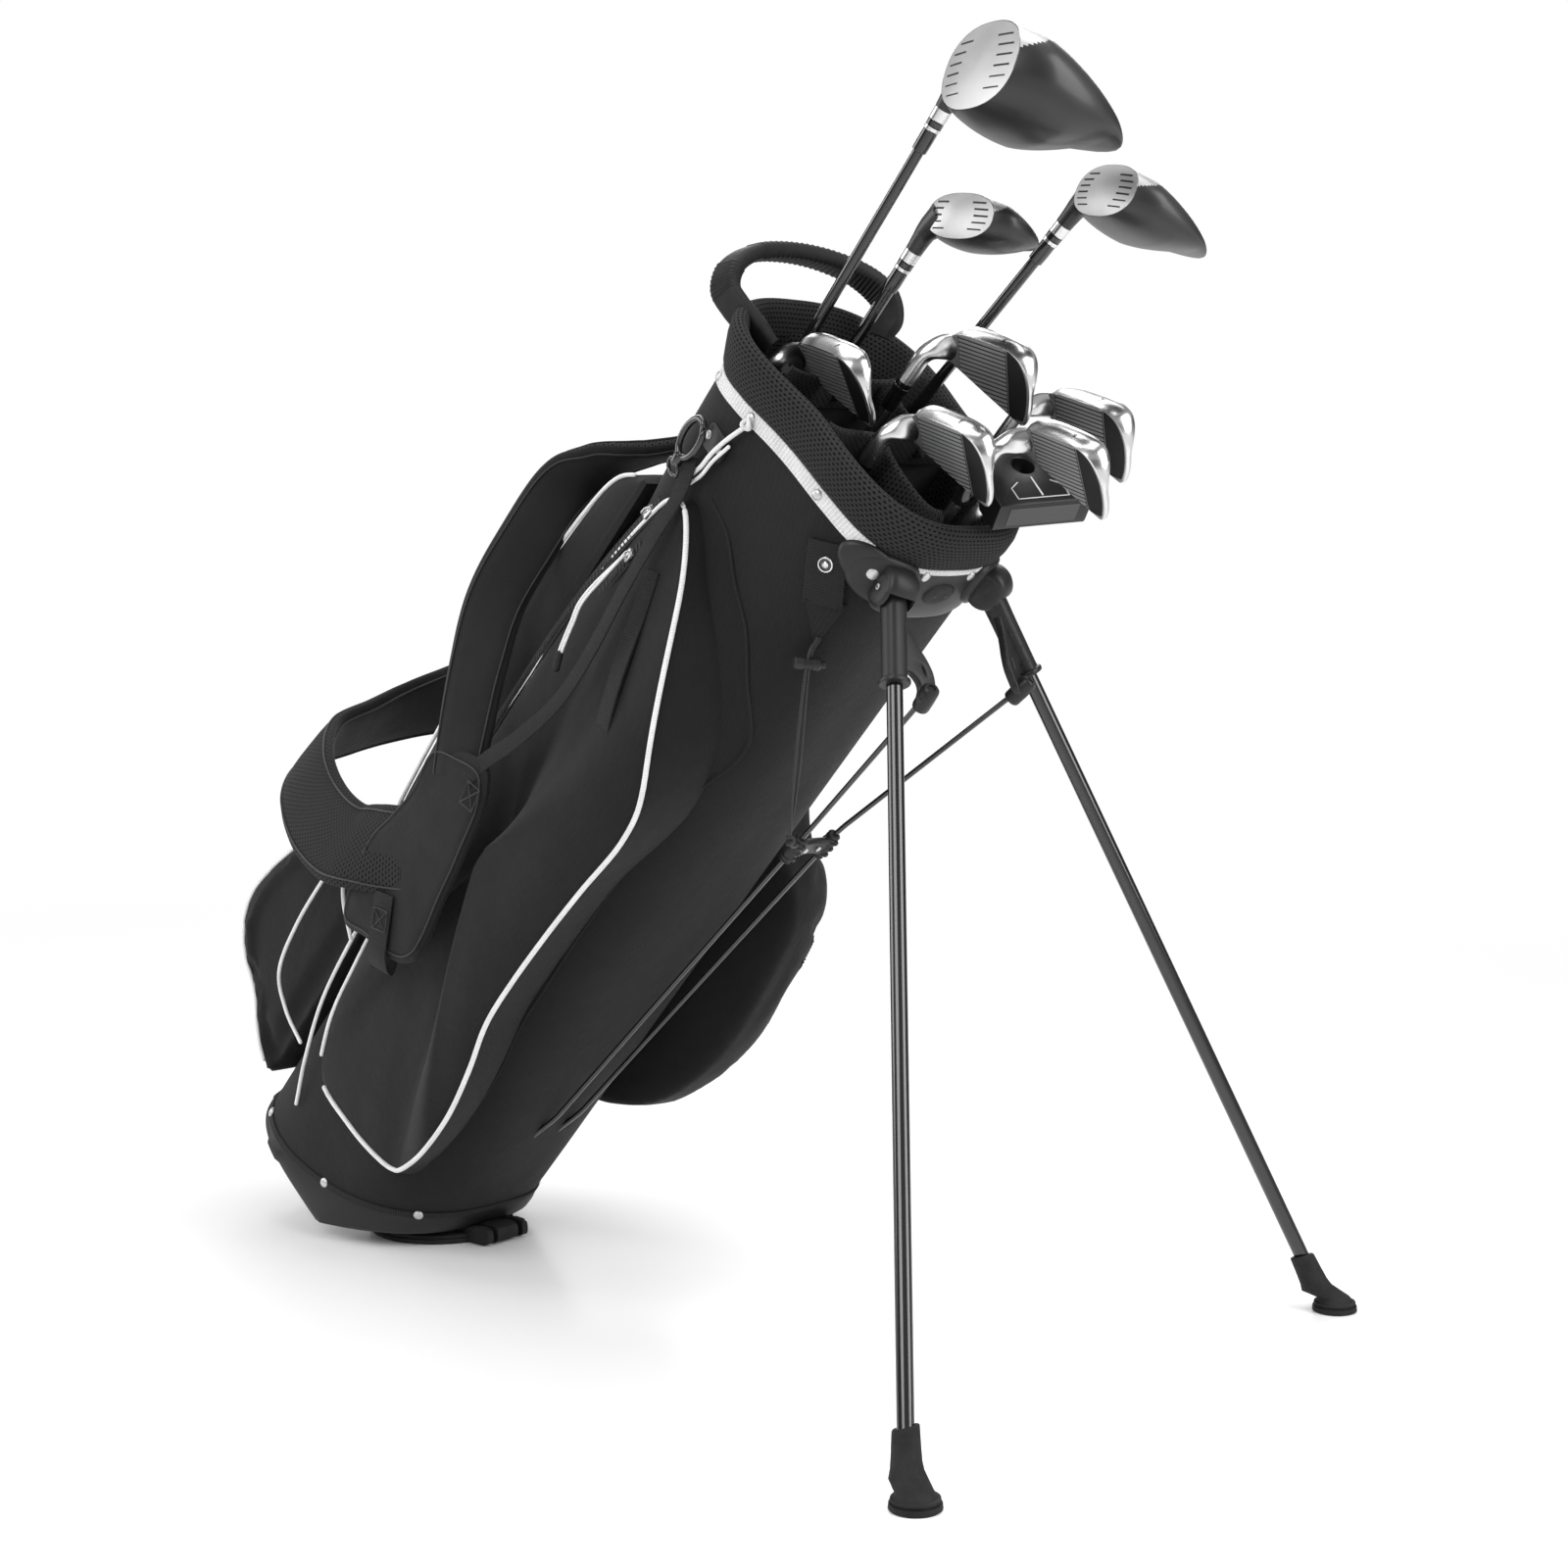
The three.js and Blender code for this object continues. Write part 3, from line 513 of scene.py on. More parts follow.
def rounded_path(corners, radius, steps=5):
    """Straight runs joined by round bends; `radius` is one number, or one for each inner corner."""
    corners = [Vector(c) for c in corners]
    radii = radius if isinstance(radius, list) else [radius] * (len(corners) - 2)
    out = [corners[0]]
    for before, corner, after, bend in zip(corners, corners[1:], corners[2:], radii):
        a, b = (before - corner), (after - corner)
        reach = min(bend, a.length * 0.45, b.length * 0.45)
        start, end = corner + a.normalized() * reach, corner + b.normalized() * reach
        for i in range(steps + 1):
            t = i / steps
            out.append(start * (1 - t) ** 2 + corner * 2 * t * (1 - t) + end * t * t)
    out.append(corners[-1])
    return out


def frames_along(path, up, closed=False):
    """(point, side, normal) along a path, with normals near `up`: one vector, or one for each point."""
    out = []
    for i, p in enumerate(path):
        if closed:
            along = path[(i + 1) % len(path)] - path[i - 1]
        else:
            along = path[min(i + 1, len(path) - 1)] - path[max(i - 1, 0)]
        along.normalize()
        wanted = Vector(up[i] if isinstance(up, list) else up)
        normal = (wanted - along * wanted.dot(along)).normalized()
        out.append((p, along.cross(normal), normal))
    return out


def transported(path):
    """A steady normal for each point of a path, for round sections."""
    ups, normal = [], None
    for i in range(len(path)):
        along = (path[min(i + 1, len(path) - 1)] - path[max(i - 1, 0)]).normalized()
        if normal is None:
            normal = along.orthogonal()
        normal = (normal - along * normal.dot(along)).normalized()
        ups.append(normal.copy())
    return ups


def circle(radius, sides):
    return [(radius * math.cos(turn), radius * math.sin(turn)) for turn in turns(sides)]


def rounded_bar(width, thick, corner, steps=4):
    """A rounded rectangle as (side, normal) pairs."""
    out = []
    corner = min(corner, width / 2, thick / 2)
    for k, (sx, sy) in enumerate(((1, 1), (-1, 1), (-1, -1), (1, -1))):
        cx, cy = sx * (width / 2 - corner), sy * (thick / 2 - corner)
        for i in range(steps + 1):
            angle = math.pi / 2 * (k + i / steps)
            out.append((cx + corner * math.cos(angle), cy + corner * math.sin(angle)))
    return out


def sweep(shape, path, section, up=None, slot=0, scale=None, closed=False):
    """Sweeps a section of (side, normal) pairs along a path; scale(t) gives (side, normal) factors."""
    path = [Vector(p) for p in path]
    ups = up if up is not None else transported(path)
    rings = []
    for i, (p, side, normal) in enumerate(frames_along(path, ups, closed)):
        sx, sy = scale(i / (len(path) - 1)) if scale else (1, 1)
        rings.append([p + side * (a * sx) + normal * (b * sy) for a, b in section])
    if closed:
        rings.append(rings[0])
        return shape.loft(rings, slot, caps=(False, False))
    return shape.loft(rings, slot)


def round_bar(shape, path, radius, sides=14, slot=0):
    """A round bar with domed ends."""
    path = [Vector(p) for p in path]
    start = (path[0] - path[1]).normalized()
    end = (path[-1] - path[-2]).normalized()
    dome = ((0.0, 1.0), (0.55, 0.83), (0.85, 0.5), (1.0, 0.0))
    full = [path[0] + start * (radius * a) for _, a in dome[:-1]] + path
    full += [path[-1] + end * (radius * a) for _, a in reversed(dome[:-1])]
    sizes = [max(s, 0.02) for s, _ in dome[:-1]] + [1.0] * len(path) + [max(s, 0.02) for s,
                                                                        _ in reversed(dome[:-1])]
    ups = transported(full)
    rings = []
    for i, (p, side, normal) in enumerate(frames_along(full, ups)):
        rings.append([p + (side * a + normal * b) * sizes[i] for a, b in circle(radius, sides)])
    return shape.loft(rings, slot)


def wide_ways(path, ways):
    """A band's width direction at each point of its path, blended through the given ones."""
    out = []
    for i in range(len(path)):
        t = i / (len(path) - 1) * (len(ways) - 1)
        k = min(int(t), len(ways) - 2)
        out.append(Vector(ways[k]).lerp(Vector(ways[k + 1]), t - k).normalized())
    return out


def band_rings(path, ways, section, taper=None):
    """A section of (width, thickness) pairs along a path, with its width along the given directions."""
    rings = []
    last = len(path) - 1
    for i, p in enumerate(path):
        along = (path[min(i + 1, last)] - path[max(i - 1, 0)]).normalized()
        wide = (ways[i] - along * ways[i].dot(along)).normalized()
        through = along.cross(wide)
        w, t = taper(i / last) if taper else (1, 1)
        rings.append([p + wide * (a * w) + through * (b * t) for a, b in section])
    return rings


def band(shape, path, ways, section, slot_of=None, taper=None):
    shape.loft(band_rings(path, ways, section, taper), slot_of=slot_of)


def aimed(origin, direction, spin=(0, 0, 1)):
    """A matrix whose z axis points along `direction` at `origin`."""
    z = Vector(direction).normalized()
    x = Vector(spin).cross(z)
    x = z.orthogonal() if x.length < 1e-4 else x
    x.normalize()
    y = z.cross(x)
    return axes(origin, x, y, z)


def oval(angle):
    """A point on the bag's section."""
    power = 2 / OVAL_POWER
    return HALF_DEPTH * power_of(math.cos(angle), power), HALF_WIDTH * power_of(math.sin(angle), power)


def oval_normal(angle):
    """Outward direction of the section at an angle."""
    a, b = Vector(oval(angle - 1e-3)), Vector(oval(angle + 1e-3))
    along = b - a
    return Vector((along.y, -along.x, 0)).normalized()


def angle_at(x, y):
    """The section angle whose point lies in the direction of (x, y)."""
    power = OVAL_POWER / 2
    c = math.copysign(abs(x / HALF_DEPTH) ** power, x)
    s = math.copysign(abs(y / HALF_WIDTH) ** power, y)
    return math.atan2(s, c)


def bend_noise(p, scale, seed=0.0):
    """Smooth noise in -1..1 at a point in millimetres."""
    return noise.noise(Vector((p[0] / scale + seed, p[1] / scale - seed, p[2] / scale + 2 * seed)))


def power_of(value, exponent):
    """A power that keeps the sign of its base."""
    return math.copysign(abs(value) ** exponent, value)


def turns(count):
    """The angles of a full circle in equal steps."""
    return [2 * math.pi * i / count for i in range(count)]


def flat_loop(points, count):
    """A closed smooth outline through the given flat points."""
    return [Vector((p.x, p.y)) for p in curve_points([Vector((x, y, 0)) for x, y in points], count, True)]


def smooth_step(low, high, value):
    t = min(1.0, max(0.0, (value - low) / (high - low)))
    return t * t * (3 - 2 * t)


def mouth_flare(x, z):
    """How far the wall spreads outward near the back of the mouth."""
    return smooth_step(10, -100, x) * (9 * smooth_step(600, 812, z) + 15 * smooth_step(812, 866, z))


def on_body(angle, z, grow=0.0):
    """A point on the bag's wall, `grow` off it."""
    x, y = oval(angle)
    return Vector((x, y, z)) + oval_normal(angle) * (grow + mouth_flare(x, z))


def angle_of_x(x, side=-1):
    """Section angle of the wall at depth x, on the near (-1) or far (1) side."""
    c = max(-1.0, min(1.0, x / HALF_DEPTH))
    s = (1 - abs(c) ** OVAL_POWER) ** (1 / OVAL_POWER)
    return angle_at(c * HALF_DEPTH, side * s * HALF_WIDTH)


# ---------------------------------------------------------------- body, cup, mouth

SIDES = 160


def ring_angles(count=SIDES):
    """Angles round the bag, evenly spread along its section."""
    fine = [2 * math.pi * i / 2000 for i in range(2001)]
    run = [0.0]
    for a, b in zip(fine, fine[1:]):
        run.append(run[-1] + (Vector(oval(b)) - Vector(oval(a))).length)
    out, k = [], 0
    for i in range(count):
        wanted = run[-1] * i / count
        while run[k + 1] < wanted:
            k += 1
        out.append(fine[k] + (fine[k + 1] - fine[k]) * (wanted - run[k]) / (run[k + 1] - run[k]))
    return out


AROUND = ring_angles()


def hem(x):
    """Height of the fabric's lower hem, where the cup's rivets are."""
    return -14.7 + 0.377 * x + 0.00192 * x * x


def tape_height(x):
    """Height of the white tape's middle."""
    return 810 - 0.045 * x - 0.001 * x * x


def collar_top(x):
    return 850 - 0.13 * max(0.0, x) - 0.04 * min(0.0, x)


def body_wrinkle(p):
    soft = bend_noise((p.x + 0.5 * p.z, p.y, p.z * 0.35), 70) * 1.6
    fine = bend_noise((p.x, p.y, p.z * 0.5), 26, 3.1) * 0.45
    seam = sum(math.exp(-(((p.x - at) / 1.1) ** 2)) for at in (88.0, 40.0) if p.z > 60)
    return soft + fine - 0.9 * seam


def fabric_body():
    shape = Shape("body_fabric", BAG, "twill", "mesh")
    steps = 110
    rings = []
    for k in range(steps + 1):
        ring = []
        for angle in AROUND:
            x, _ = oval(angle)
            low, high = hem(x) - 3.0, tape_height(x) + 3
            p = on_body(angle, low + (high - low) * k / steps)
            ease = min(1.0, k / 5, (steps - k) / 5)
            # the front stays flat, where the folded feet lie
            loose = 1 - 0.85 * smooth_step(20, 80, x)
            ring.append(p + oval_normal(angle)
                        * (0.45 + 0.6 * loose + max(-0.8, body_wrinkle(p)) * ease * loose))
        rings.append(ring)
    inner = [[p - oval_normal(a) * (3.6 if k else 1.4) for p, a in zip(rings[k], AROUND)]
             for k in (steps, steps * 2 // 3, steps // 3, 0)]
    shape.loft(rings + inner + [rings[0]], closed=True, caps=(False, False),
               slot_of=lambda r, i: 0 if r <= steps else 1)
    shape.add("bag", ("bag_tube",), "fabric")


ROOM_TOP = 17.0


def cup_edge(x):
    """The cup's lower edge: square to the axis at the back, parallel to the ground at the front."""
    return -43.5 + max(0.0, x - 29) * math.tan(LEAN)


def plate_room(x):
    """Underside of the cup: a recess over its front half takes the foot plate when the legs fold."""
    return cup_edge(x) + 3 if x < 0 else max(ROOM_TOP, cup_edge(x) + 3)


def moulded_cup():
    shape = Shape("moulded_cup", BAG, "cup")
    rings = []
    levels = ((-4.0, 1.2), (0.0, 3.0), (3.0, 4.2), (12.0, 4.4), (18.0, 3.4))
    for rise, bulge in levels:
        ring = []
        for angle in AROUND:
            x, y = oval(angle)
            top = hem(x) - 3.0
            low = cup_edge(x)
            share = max(0.0, rise) / 18
            z = low - 1.5 * (rise < 0) + (top - low) * share
            # stepped ribs low on the back
            rib = 2.6 * (0.5 + 0.5 * math.copysign(1, math.sin(y / 9.5))) * (1 - share) if x < -40 else 0.0
            ring.append(Vector((x, y, z)) + oval_normal(angle) * (bulge - 1.0 + rib))
        rings.append(ring)

    def wall(height, lift, grow):
        return [on_body(a, height(oval(a)[0]) + lift, grow) for a in AROUND]
    underside = wall(plate_room, 0, -8)
    inside = [wall(hem, 10, -1.5), wall(hem, 10, -4.5), wall(cup_edge, 4, -4.5)]
    shape.loft([underside, wall(cup_edge, -1.0, -6)] + rings + inside, caps=(False, False))
    # the floor is ruled across the cup, so its step follows one line
    corners = [shape.vert(p) for p in underside]
    for i in range(SIDES // 2):
        shape.face((corners[i], corners[i + 1], corners[-i - 1], corners[-i % SIDES]))
    shape.add("bag", ("base_cup",), "plastic")


def rivet(shape, place, out, radius=4.4, height=2.0, slot=0):
    profile = [(radius, -0.6), (radius, 0.4), (radius * 0.92, height * 0.55), (radius * 0.6, height * 0.9)]
    shape.lathe(profile + [(0.05, height)], aimed(place, out), 24, slot)


def rivet_ring(name, height, out, sides, ends, size):
    """Rivets at the given depths on both sides, and at two places across one end."""
    shape = Shape(name, BAG, "satin")
    spots = [(angle_of_x(x, side), height(x)) for side, x in sides]
    spots += [(angle_at(end * 0.995, y), height(end)) for end, y in ends]
    for angle, z in spots:
        rivet(shape, on_body(angle, z, out), oval_normal(angle), *size)
    shape.add()


def hem_binding():
    """Folded edge of the fabric."""
    shape = Shape("hem_binding", BAG, "webbing")
    path = [on_body(a, hem(oval(a)[0]) - 1.0, 1.7) for a in AROUND]
    sweep(shape, path, rounded_bar(9, 1.2, 0.6), [oval_normal(a) for a in AROUND], closed=True)
    shape.add()


def mouth_tape():
    shape = Shape("mouth_tape", BAG, "tape")
    fine = ring_angles(320)
    path = [on_body(a, tape_height(oval(a)[0]) + 0.5 * bend_noise(on_body(a, 0), 30), 2.2) for a in fine]
    sweep(shape, path, rounded_bar(11.5, 1.5, 0.7), [oval_normal(a) for a in fine], closed=True)
    shape.add()
    stitches = Shape("tape_stitches", BAG, "white_cord")
    for row in (-4.2, 4.2):
        for i in range(0, 320, 2):
            p, q = path[i], path[(i + 1) % 320]
            out = oval_normal(fine[i]) * 0.75
            offset = Vector((0, 0, row))
            round_bar(stitches, [p + out + offset, p.lerp(q, 0.7) + out + offset], 0.35, 6)
    stitches.add()


def collar():
    """Padded roll of air mesh round the mouth."""
    shape = Shape("mouth_collar", BAG, "mesh")
    fine = ring_angles(200)
    outer = ((0.0, 1.0), (0.04, 3.2), (0.14, 5.6), (0.35, 7.0), (0.6, 7.0), (0.82, 5.4), (0.93, 3.4),
             (0.985, 0.6))
    inner = ((1.0, -2.6), (0.985, -5.6), (0.93, -8.2), (0.8, -9.6), (0.55, -9.9), (0.3, -9.4), (0.1, -8.0),
             (0.0, -6.0))
    rings = []
    for share, grow in outer + inner:
        ring = []
        for angle in fine:
            x, _ = oval(angle)
            low = tape_height(x) + 5.5
            high = collar_top(x)
            p = on_body(angle, low + (high - low) * share)
            soft = bend_noise(p, 34) * 1.1 * math.sin(math.pi * min(1, share + 0.15))
            ring.append(p + oval_normal(angle) * (grow + soft))
        rings.append(ring)
    shape.loft(rings + [rings[0]], caps=(False, False))
    shape.add("bag", ("top_collar",), "padding")


def inner_lining():
    """Dark cloth that hangs a short way into the tube below the two long dividers."""
    shape = Shape("divider_cloth", BAG, "twill_smooth")
    for a, b in ((Vector((-50, -84, 0)), Vector((-50, 84, 0))), (Vector((8, -90, 0)), Vector((8, 90, 0)))):
        rings = []
        for k in range(11):
            z = 818 - 14 * k
            ring = []
            for i in range(25):
                p = a.lerp(b, i / 24) + Vector((bend_noise((i * 9, k * 14, a.x), 22) * 1.3, 0, z))
                ring.append(p)
            rings.append(ring + [q + Vector((0.8, 0, 0)) for q in reversed(ring)])
        shape.loft(rings)
    shape.add()


def dividers():
    """Sagging mesh-covered bars across the mouth."""
    shape = Shape("mouth_dividers", BAG, "mesh")
    bars = [((-50, -88), (-50, 88)), ((8, -92), (8, 92)), ((-100, -12), (-52, -12)), ((-48, 37), (6, 37)),
            ((10, -28), (102, -28))]
    for (x0, y0), (x1, y1) in bars:
        a, b = Vector((x0, y0, 826)), Vector((x1, y1, 826))
        count = 28
        path = []
        for i in range(count + 1):
            t = i / count
            p = a.lerp(b, t)
            p.z += 10 * (2 * t - 1) ** 4 - 0.1 * p.x + bend_noise(p, 25) * 1.0
            path.append(p)
        sweep(shape, path, rounded_bar(6.6, 30, 3.2, 5), (0, 0, 1),
              scale=lambda t: (1 + 0.12 * math.sin(9 * t), 1 - 0.06 * math.sin(math.pi * t)))
    shape.add("bag", ("top_divider",), "padding")


def lift_handle():
    """Moulded rubber handle: smooth bends and finely ribbed grips."""
    shape = Shape("carry_handle", BAG, "handle")
    points = [(-92, -56, 838), (-110, -64, 843), (-129, -70, 847), (-145, -71, 852), (-158, -60, 863),
              (-164, -36, 873),
              (-161, -4, 879), (-150, 26, 883), (-131, 51, 885), (-110, 64, 882), (-96, 66, 872),
              (-90, 62, 858)]
    count = 300
    path = curve_points(points, count)
    ways = wide_ways(path, [(0.5, -0.1, 0.8), (0.5, 0, 0.8), (0.6, 0, 0.8), (0.7, 0, 0.7), (0.7, 0, 0.7),
                            (0.6, 0.1, 0.8), (0.5, 0.1, 0.8)])
    section = rounded_bar(25, 12, 5, 5)

    def ribs(t):
        groove = 0.5 - 0.5 * math.cos(2 * math.pi * t * count / 4.0)
        ribbed = 0.24 < t < 0.36 or 0.45 < t < 0.84
        end = 0.8 + 0.2 * smooth_step(0, 0.08, min(t, 1 - t))
        return (end, end * (1 + 0.16 * groove)) if ribbed else (end, end)
    band(shape, path, ways, section, taper=ribs)
    shape.add("bag", ("lift_handle",), "rubber")


fabric_body()
moulded_cup()
rivet_ring("cup_rivets", lambda x: hem(x) + 1.0, 1.9,
           [(side, x) for side in (-1, 1) for x in (94.5, 13.0, -85.0)],
           [(-HALF_DEPTH, y) for y in (-30, 30)], (4.4, 2.0))
hem_binding()
mouth_tape()
rivet_ring("tape_rivets", tape_height, 2.8, [(side, x) for side in (-1, 1) for x in (-89, -41, 40, 92)],
           [(HALF_DEPTH, y) for y in (-28, 28)], (4.2, 2.4))
collar()
inner_lining()
dividers()
lift_handle()

# ---------------------------------------------------------------- clubs
# A club's own frame: origin in the hosel's rim, z away from the shaft, x to the toe, the face looks along -y.

WOOD_TILT = math.radians(58 - 90)
IRON_TILT = math.radians(66 - 90)
FERRULE = 26

CLUBS = {
    "driver": dict(kind="wood", toe=-28, wide=118, deep=128, high=64, hosel=34, tip=4.4, lines=6),
    "hybrid": dict(kind="wood", toe=-16, wide=90, deep=68, high=34, hosel=40, tip=4.6, lines=5),
    "fairway_wood": dict(kind="wood", toe=-28, wide=92, deep=100, high=40, hosel=38, tip=4.5, lines=6),
    "iron_pitch": dict(kind="iron", toe=-18, loft=44, hosel=52, tip=4.6, digit="P"),
    "iron_6": dict(kind="iron", toe=-6, loft=28, hosel=52, tip=4.6, digit="6"),
    "iron_7": dict(kind="iron", toe=-8, loft=32, hosel=52, tip=4.6, digit="7"),
    "iron_8": dict(kind="iron", toe=-12, loft=36, hosel=52, tip=4.6, digit="8"),
    "iron_9": dict(kind="iron", toe=-14, loft=40, hosel=52, tip=4.6, digit="9"),
    "putter": dict(kind="putter", toe=75, tip=4.6),
}


def club_frame(name, spec):
    """The club's frame on the ground frame, and the length from the rim back to the butt."""
    up = Vector(JOINTS[name + "_lift"]["axis"]).normalized()
    angle = math.radians(spec["toe"])
    toe = (BAG.to_3x3() @ Vector((math.cos(angle), math.sin(angle), 0))).normalized()
    toe = (toe - up * toe.dot(up)).normalized()
    shaft = node_points(name + "_shaft")
    along = [p.dot(up) for p in shaft]
    grip_low = min(p.dot(up) for p in node_points(name + "_grip"))
    rim = max(along) - 21 * MM
    centre = sum(shaft, Vector()) / len(shaft)
    place = centre + up * (rim - centre.dot(up))
    return axes(place, toe, up.cross(toe), up) @ Matrix.Scale(MM, 4), (rim - grip_low) / MM


def superellipse(cx, cz, half_x, half_z, power, count, y):
    return [Vector((cx + half_x * power_of(math.cos(a), 2 / power), y,
                    cz + half_z * power_of(math.sin(a), 2 / power))) for a in turns(count)]


def ribbon(shape, points, normals, widths, thick, slot):
    """A thin raised strip lying on a surface."""
    rings = []
    for i, (p, side, normal) in enumerate(frames_along(points, normals)):
        w = widths[i]
        rings.append([
            p + side * a * w + normal * b * thick
            for a, b in ((-0.5, -1.0), (-0.5, 0.4), (-0.36, 1.0), (0.36, 1.0), (0.5, 0.4), (0.5, -1.0))
        ])
    shape.loft(rings, slot)


def wood_head(name, spec, frame_matrix):
    wide, deep, high = spec["wide"], spec["deep"], spec["high"]
    shape = Shape(name + "_head_shell", frame_matrix, "head", "satin", "chrome", "dark_paint_and_shade")
    tilt = Matrix.Translation((0, 0, spec["hosel"])) @ Matrix.Rotation(WOOD_TILT, 4, "Y")
    centre_x = wide * 0.39
    face_y = -deep * 0.1
    length = deep * 0.92
    count, steps = 96, 56
    widest = 0.24  # where the head is widest, as a share of its length
    rings = []
    share = []
    for k in range(steps + 1):
        t = 1 - math.cos(math.pi / 2 * k / steps)
        # plan: widest near the face; profile: the sole runs down to a low tail
        if t > widest:
            width = math.sqrt(max(0.0, 1 - ((t - widest) / 0.765) ** 2))
        else:
            width = 1 - 0.18 * ((widest - t) / widest) ** 2
        crown = -0.5 - 0.13 * math.sin(math.pi * min(1, t * 1.25)) + 0.16 * max(0, t - 0.45) / 0.55
        sole = 0.5 - 0.02 * t - 0.92 * max(0.0, t - 0.16) ** 1.5
        tail = math.sqrt(max(0.0, 1 - t**7))
        middle, half = (sole + crown) / 2, (sole - crown) / 2 * tail
        cx = centre_x + wide * 0.06 * t
        ring = superellipse(cx, middle * high, max(0.4, wide / 2 * width), max(0.3, half * high), 2.35, count,
                            face_y + length * t)
        if k == 0:
            for p in ring:
                p.y += 1.6
        rings.append(ring)
        share.append(t)
    # the face: a bright rim, then a flat slightly bowed plane
    front = []
    for s in (0.0, 0.12, 0.3, 0.5, 0.7, 0.86, 0.95, 0.985):
        ring = []
        for p in rings[0]:
            q = Vector((centre_x + (p.x - centre_x) * s, face_y, p.z * s))
            q.y = face_y - 3.2 * (1 - s * s)
            ring.append(q)
        front.append(ring)
    total = len(front)

    def paint(r, i):
        if r < total - 1:
            return 1
        if r < total + 1:
            return 2
        k = r - total
        t = share[min(k, steps)]
        angle = 2 * math.pi * (i + 0.5) / count
        on_sole = math.sin(angle)
        # the silver wedge narrows from the face's edge back along the sole
        return 1 if on_sole > 0.2 + 2.6 * t and t < 0.3 else 0
    turned = [[tilt @ p for p in ring] for ring in front + rings]
    shape.loft(turned, caps=(True, True), slot_of=paint)

    tree = BVHTree.FromPolygons([tilt.inverted() @ v for v in shape.verts], shape.faces)
    # score lines at the heel and toe sides of the face
    for side in (-1, 1):
        for k in range(spec["lines"]):
            v = (k + 0.5) / spec["lines"] * 2 - 1
            z = v * high * 0.36
            room = wide / 2 * (1 - abs(v * 0.76) ** 2.35) ** (1 / 2.35) * 0.7
            far_end = centre_x + side * room
            near_end = far_end - side * wide * 0.15
            points, normals = [], []
            for s in range(5):
                x = near_end + (far_end - near_end) * s / 4
                hit = tree.ray_cast(Vector((x, face_y - 30, z)), Vector((0, 1, 0)))
                if hit[0] is not None:
                    points.append(tilt @ (hit[0] - Vector((0, 0.12, 0))))
                    normals.append(tilt.to_3x3() @ Vector((0, -1, 0)))
            if len(points) == 5:
                ribbon(shape, points, normals, [1.1 + 0.3 * (k > 1)] * 5, 0.12, 3)

    def sole_ribbon(places, widths, thick):
        """A raised strip over the sole, through (x, y) places."""
        points, normals, kept = [], [], []
        for (x, y), width in zip(places, widths):
            hit = tree.ray_cast(Vector((x, y, high * 2)), Vector((0, 0, -1)))
            if hit[0] is not None:
                normal = hit[1] if hit[1].z > 0 else -hit[1]
                points.append(tilt @ (hit[0] + normal * 0.3))
                normals.append(tilt.to_3x3() @ normal)
                kept.append(width)
        ribbon(shape, points, normals, kept, thick, 2)

    # two silver stripes curve over the sole, and the hybrid has an oval badge too
    stations = [s / 24 for s in range(25)]
    for offset, width in ((0.0, 2.6), (0.075, 3.4)):
        sole_ribbon([(centre_x + wide * (0.10 + 0.30 * t - 0.1 * t * t) - wide * offset,
                      face_y + length * (0.36 + 0.42 * t)) for t in stations],
                    [width * (0.55 + 0.45 * math.sin(math.pi * min(1, t * 1.2 + 0.1))) for t in stations],
                    0.9)
    if name == "hybrid":
        sole_ribbon([(centre_x - wide * 0.1 + 13 * math.cos(2 * math.pi * t),
                      face_y + length * 0.28 + 6 * math.sin(2 * math.pi * t)) for t in stations], [2.4] * 25,
                      0.8)
    # hosel: a thick black neck flowing into the heel, with a bright ring at its rim
    rim = 6.6
    shape.lathe([(rim - 0.4, 0), (rim, 0.6), (rim + 0.1, 9), (rim + 0.1, 9.4)], Matrix.Identity(4), 40, 2)
    path = [Vector((0, 0, z)) for z in (9.4, 14, 20, 26)] + [Vector((2.0, 0, 32)),
                                                             Vector((6.0, 0.5, spec["hosel"] + 6))]
    radii = (rim, rim + 0.3, rim + 0.8, rim + 1.6, rim + 3.2, rim + 5.0)
    rings = []
    for (p, a, b), radius in zip(frames_along(path, [Vector((0, 1, 0))] * len(path)), radii):
        rings.append([p + a * u * radius + b * v * radius for u, v in circle(1, 40)])
    shape.loft(rings, 0)
    shape.add(name, (name + "_head",), "lacquer", 30)


IRON_OUTLINE = [(-4, -22), (-1.5, -10), (4, -1), (18, 2.0), (36, 2.6), (56, 1.6), (69, -2.5), (76, -10),
                (79.5, -20),
                (80, -30), (78.5, -42), (75, -52), (71, -56.5), (66.5, -56), (50, -48.5), (30, -39.5),
                (12, -31), (2, -26.5)]


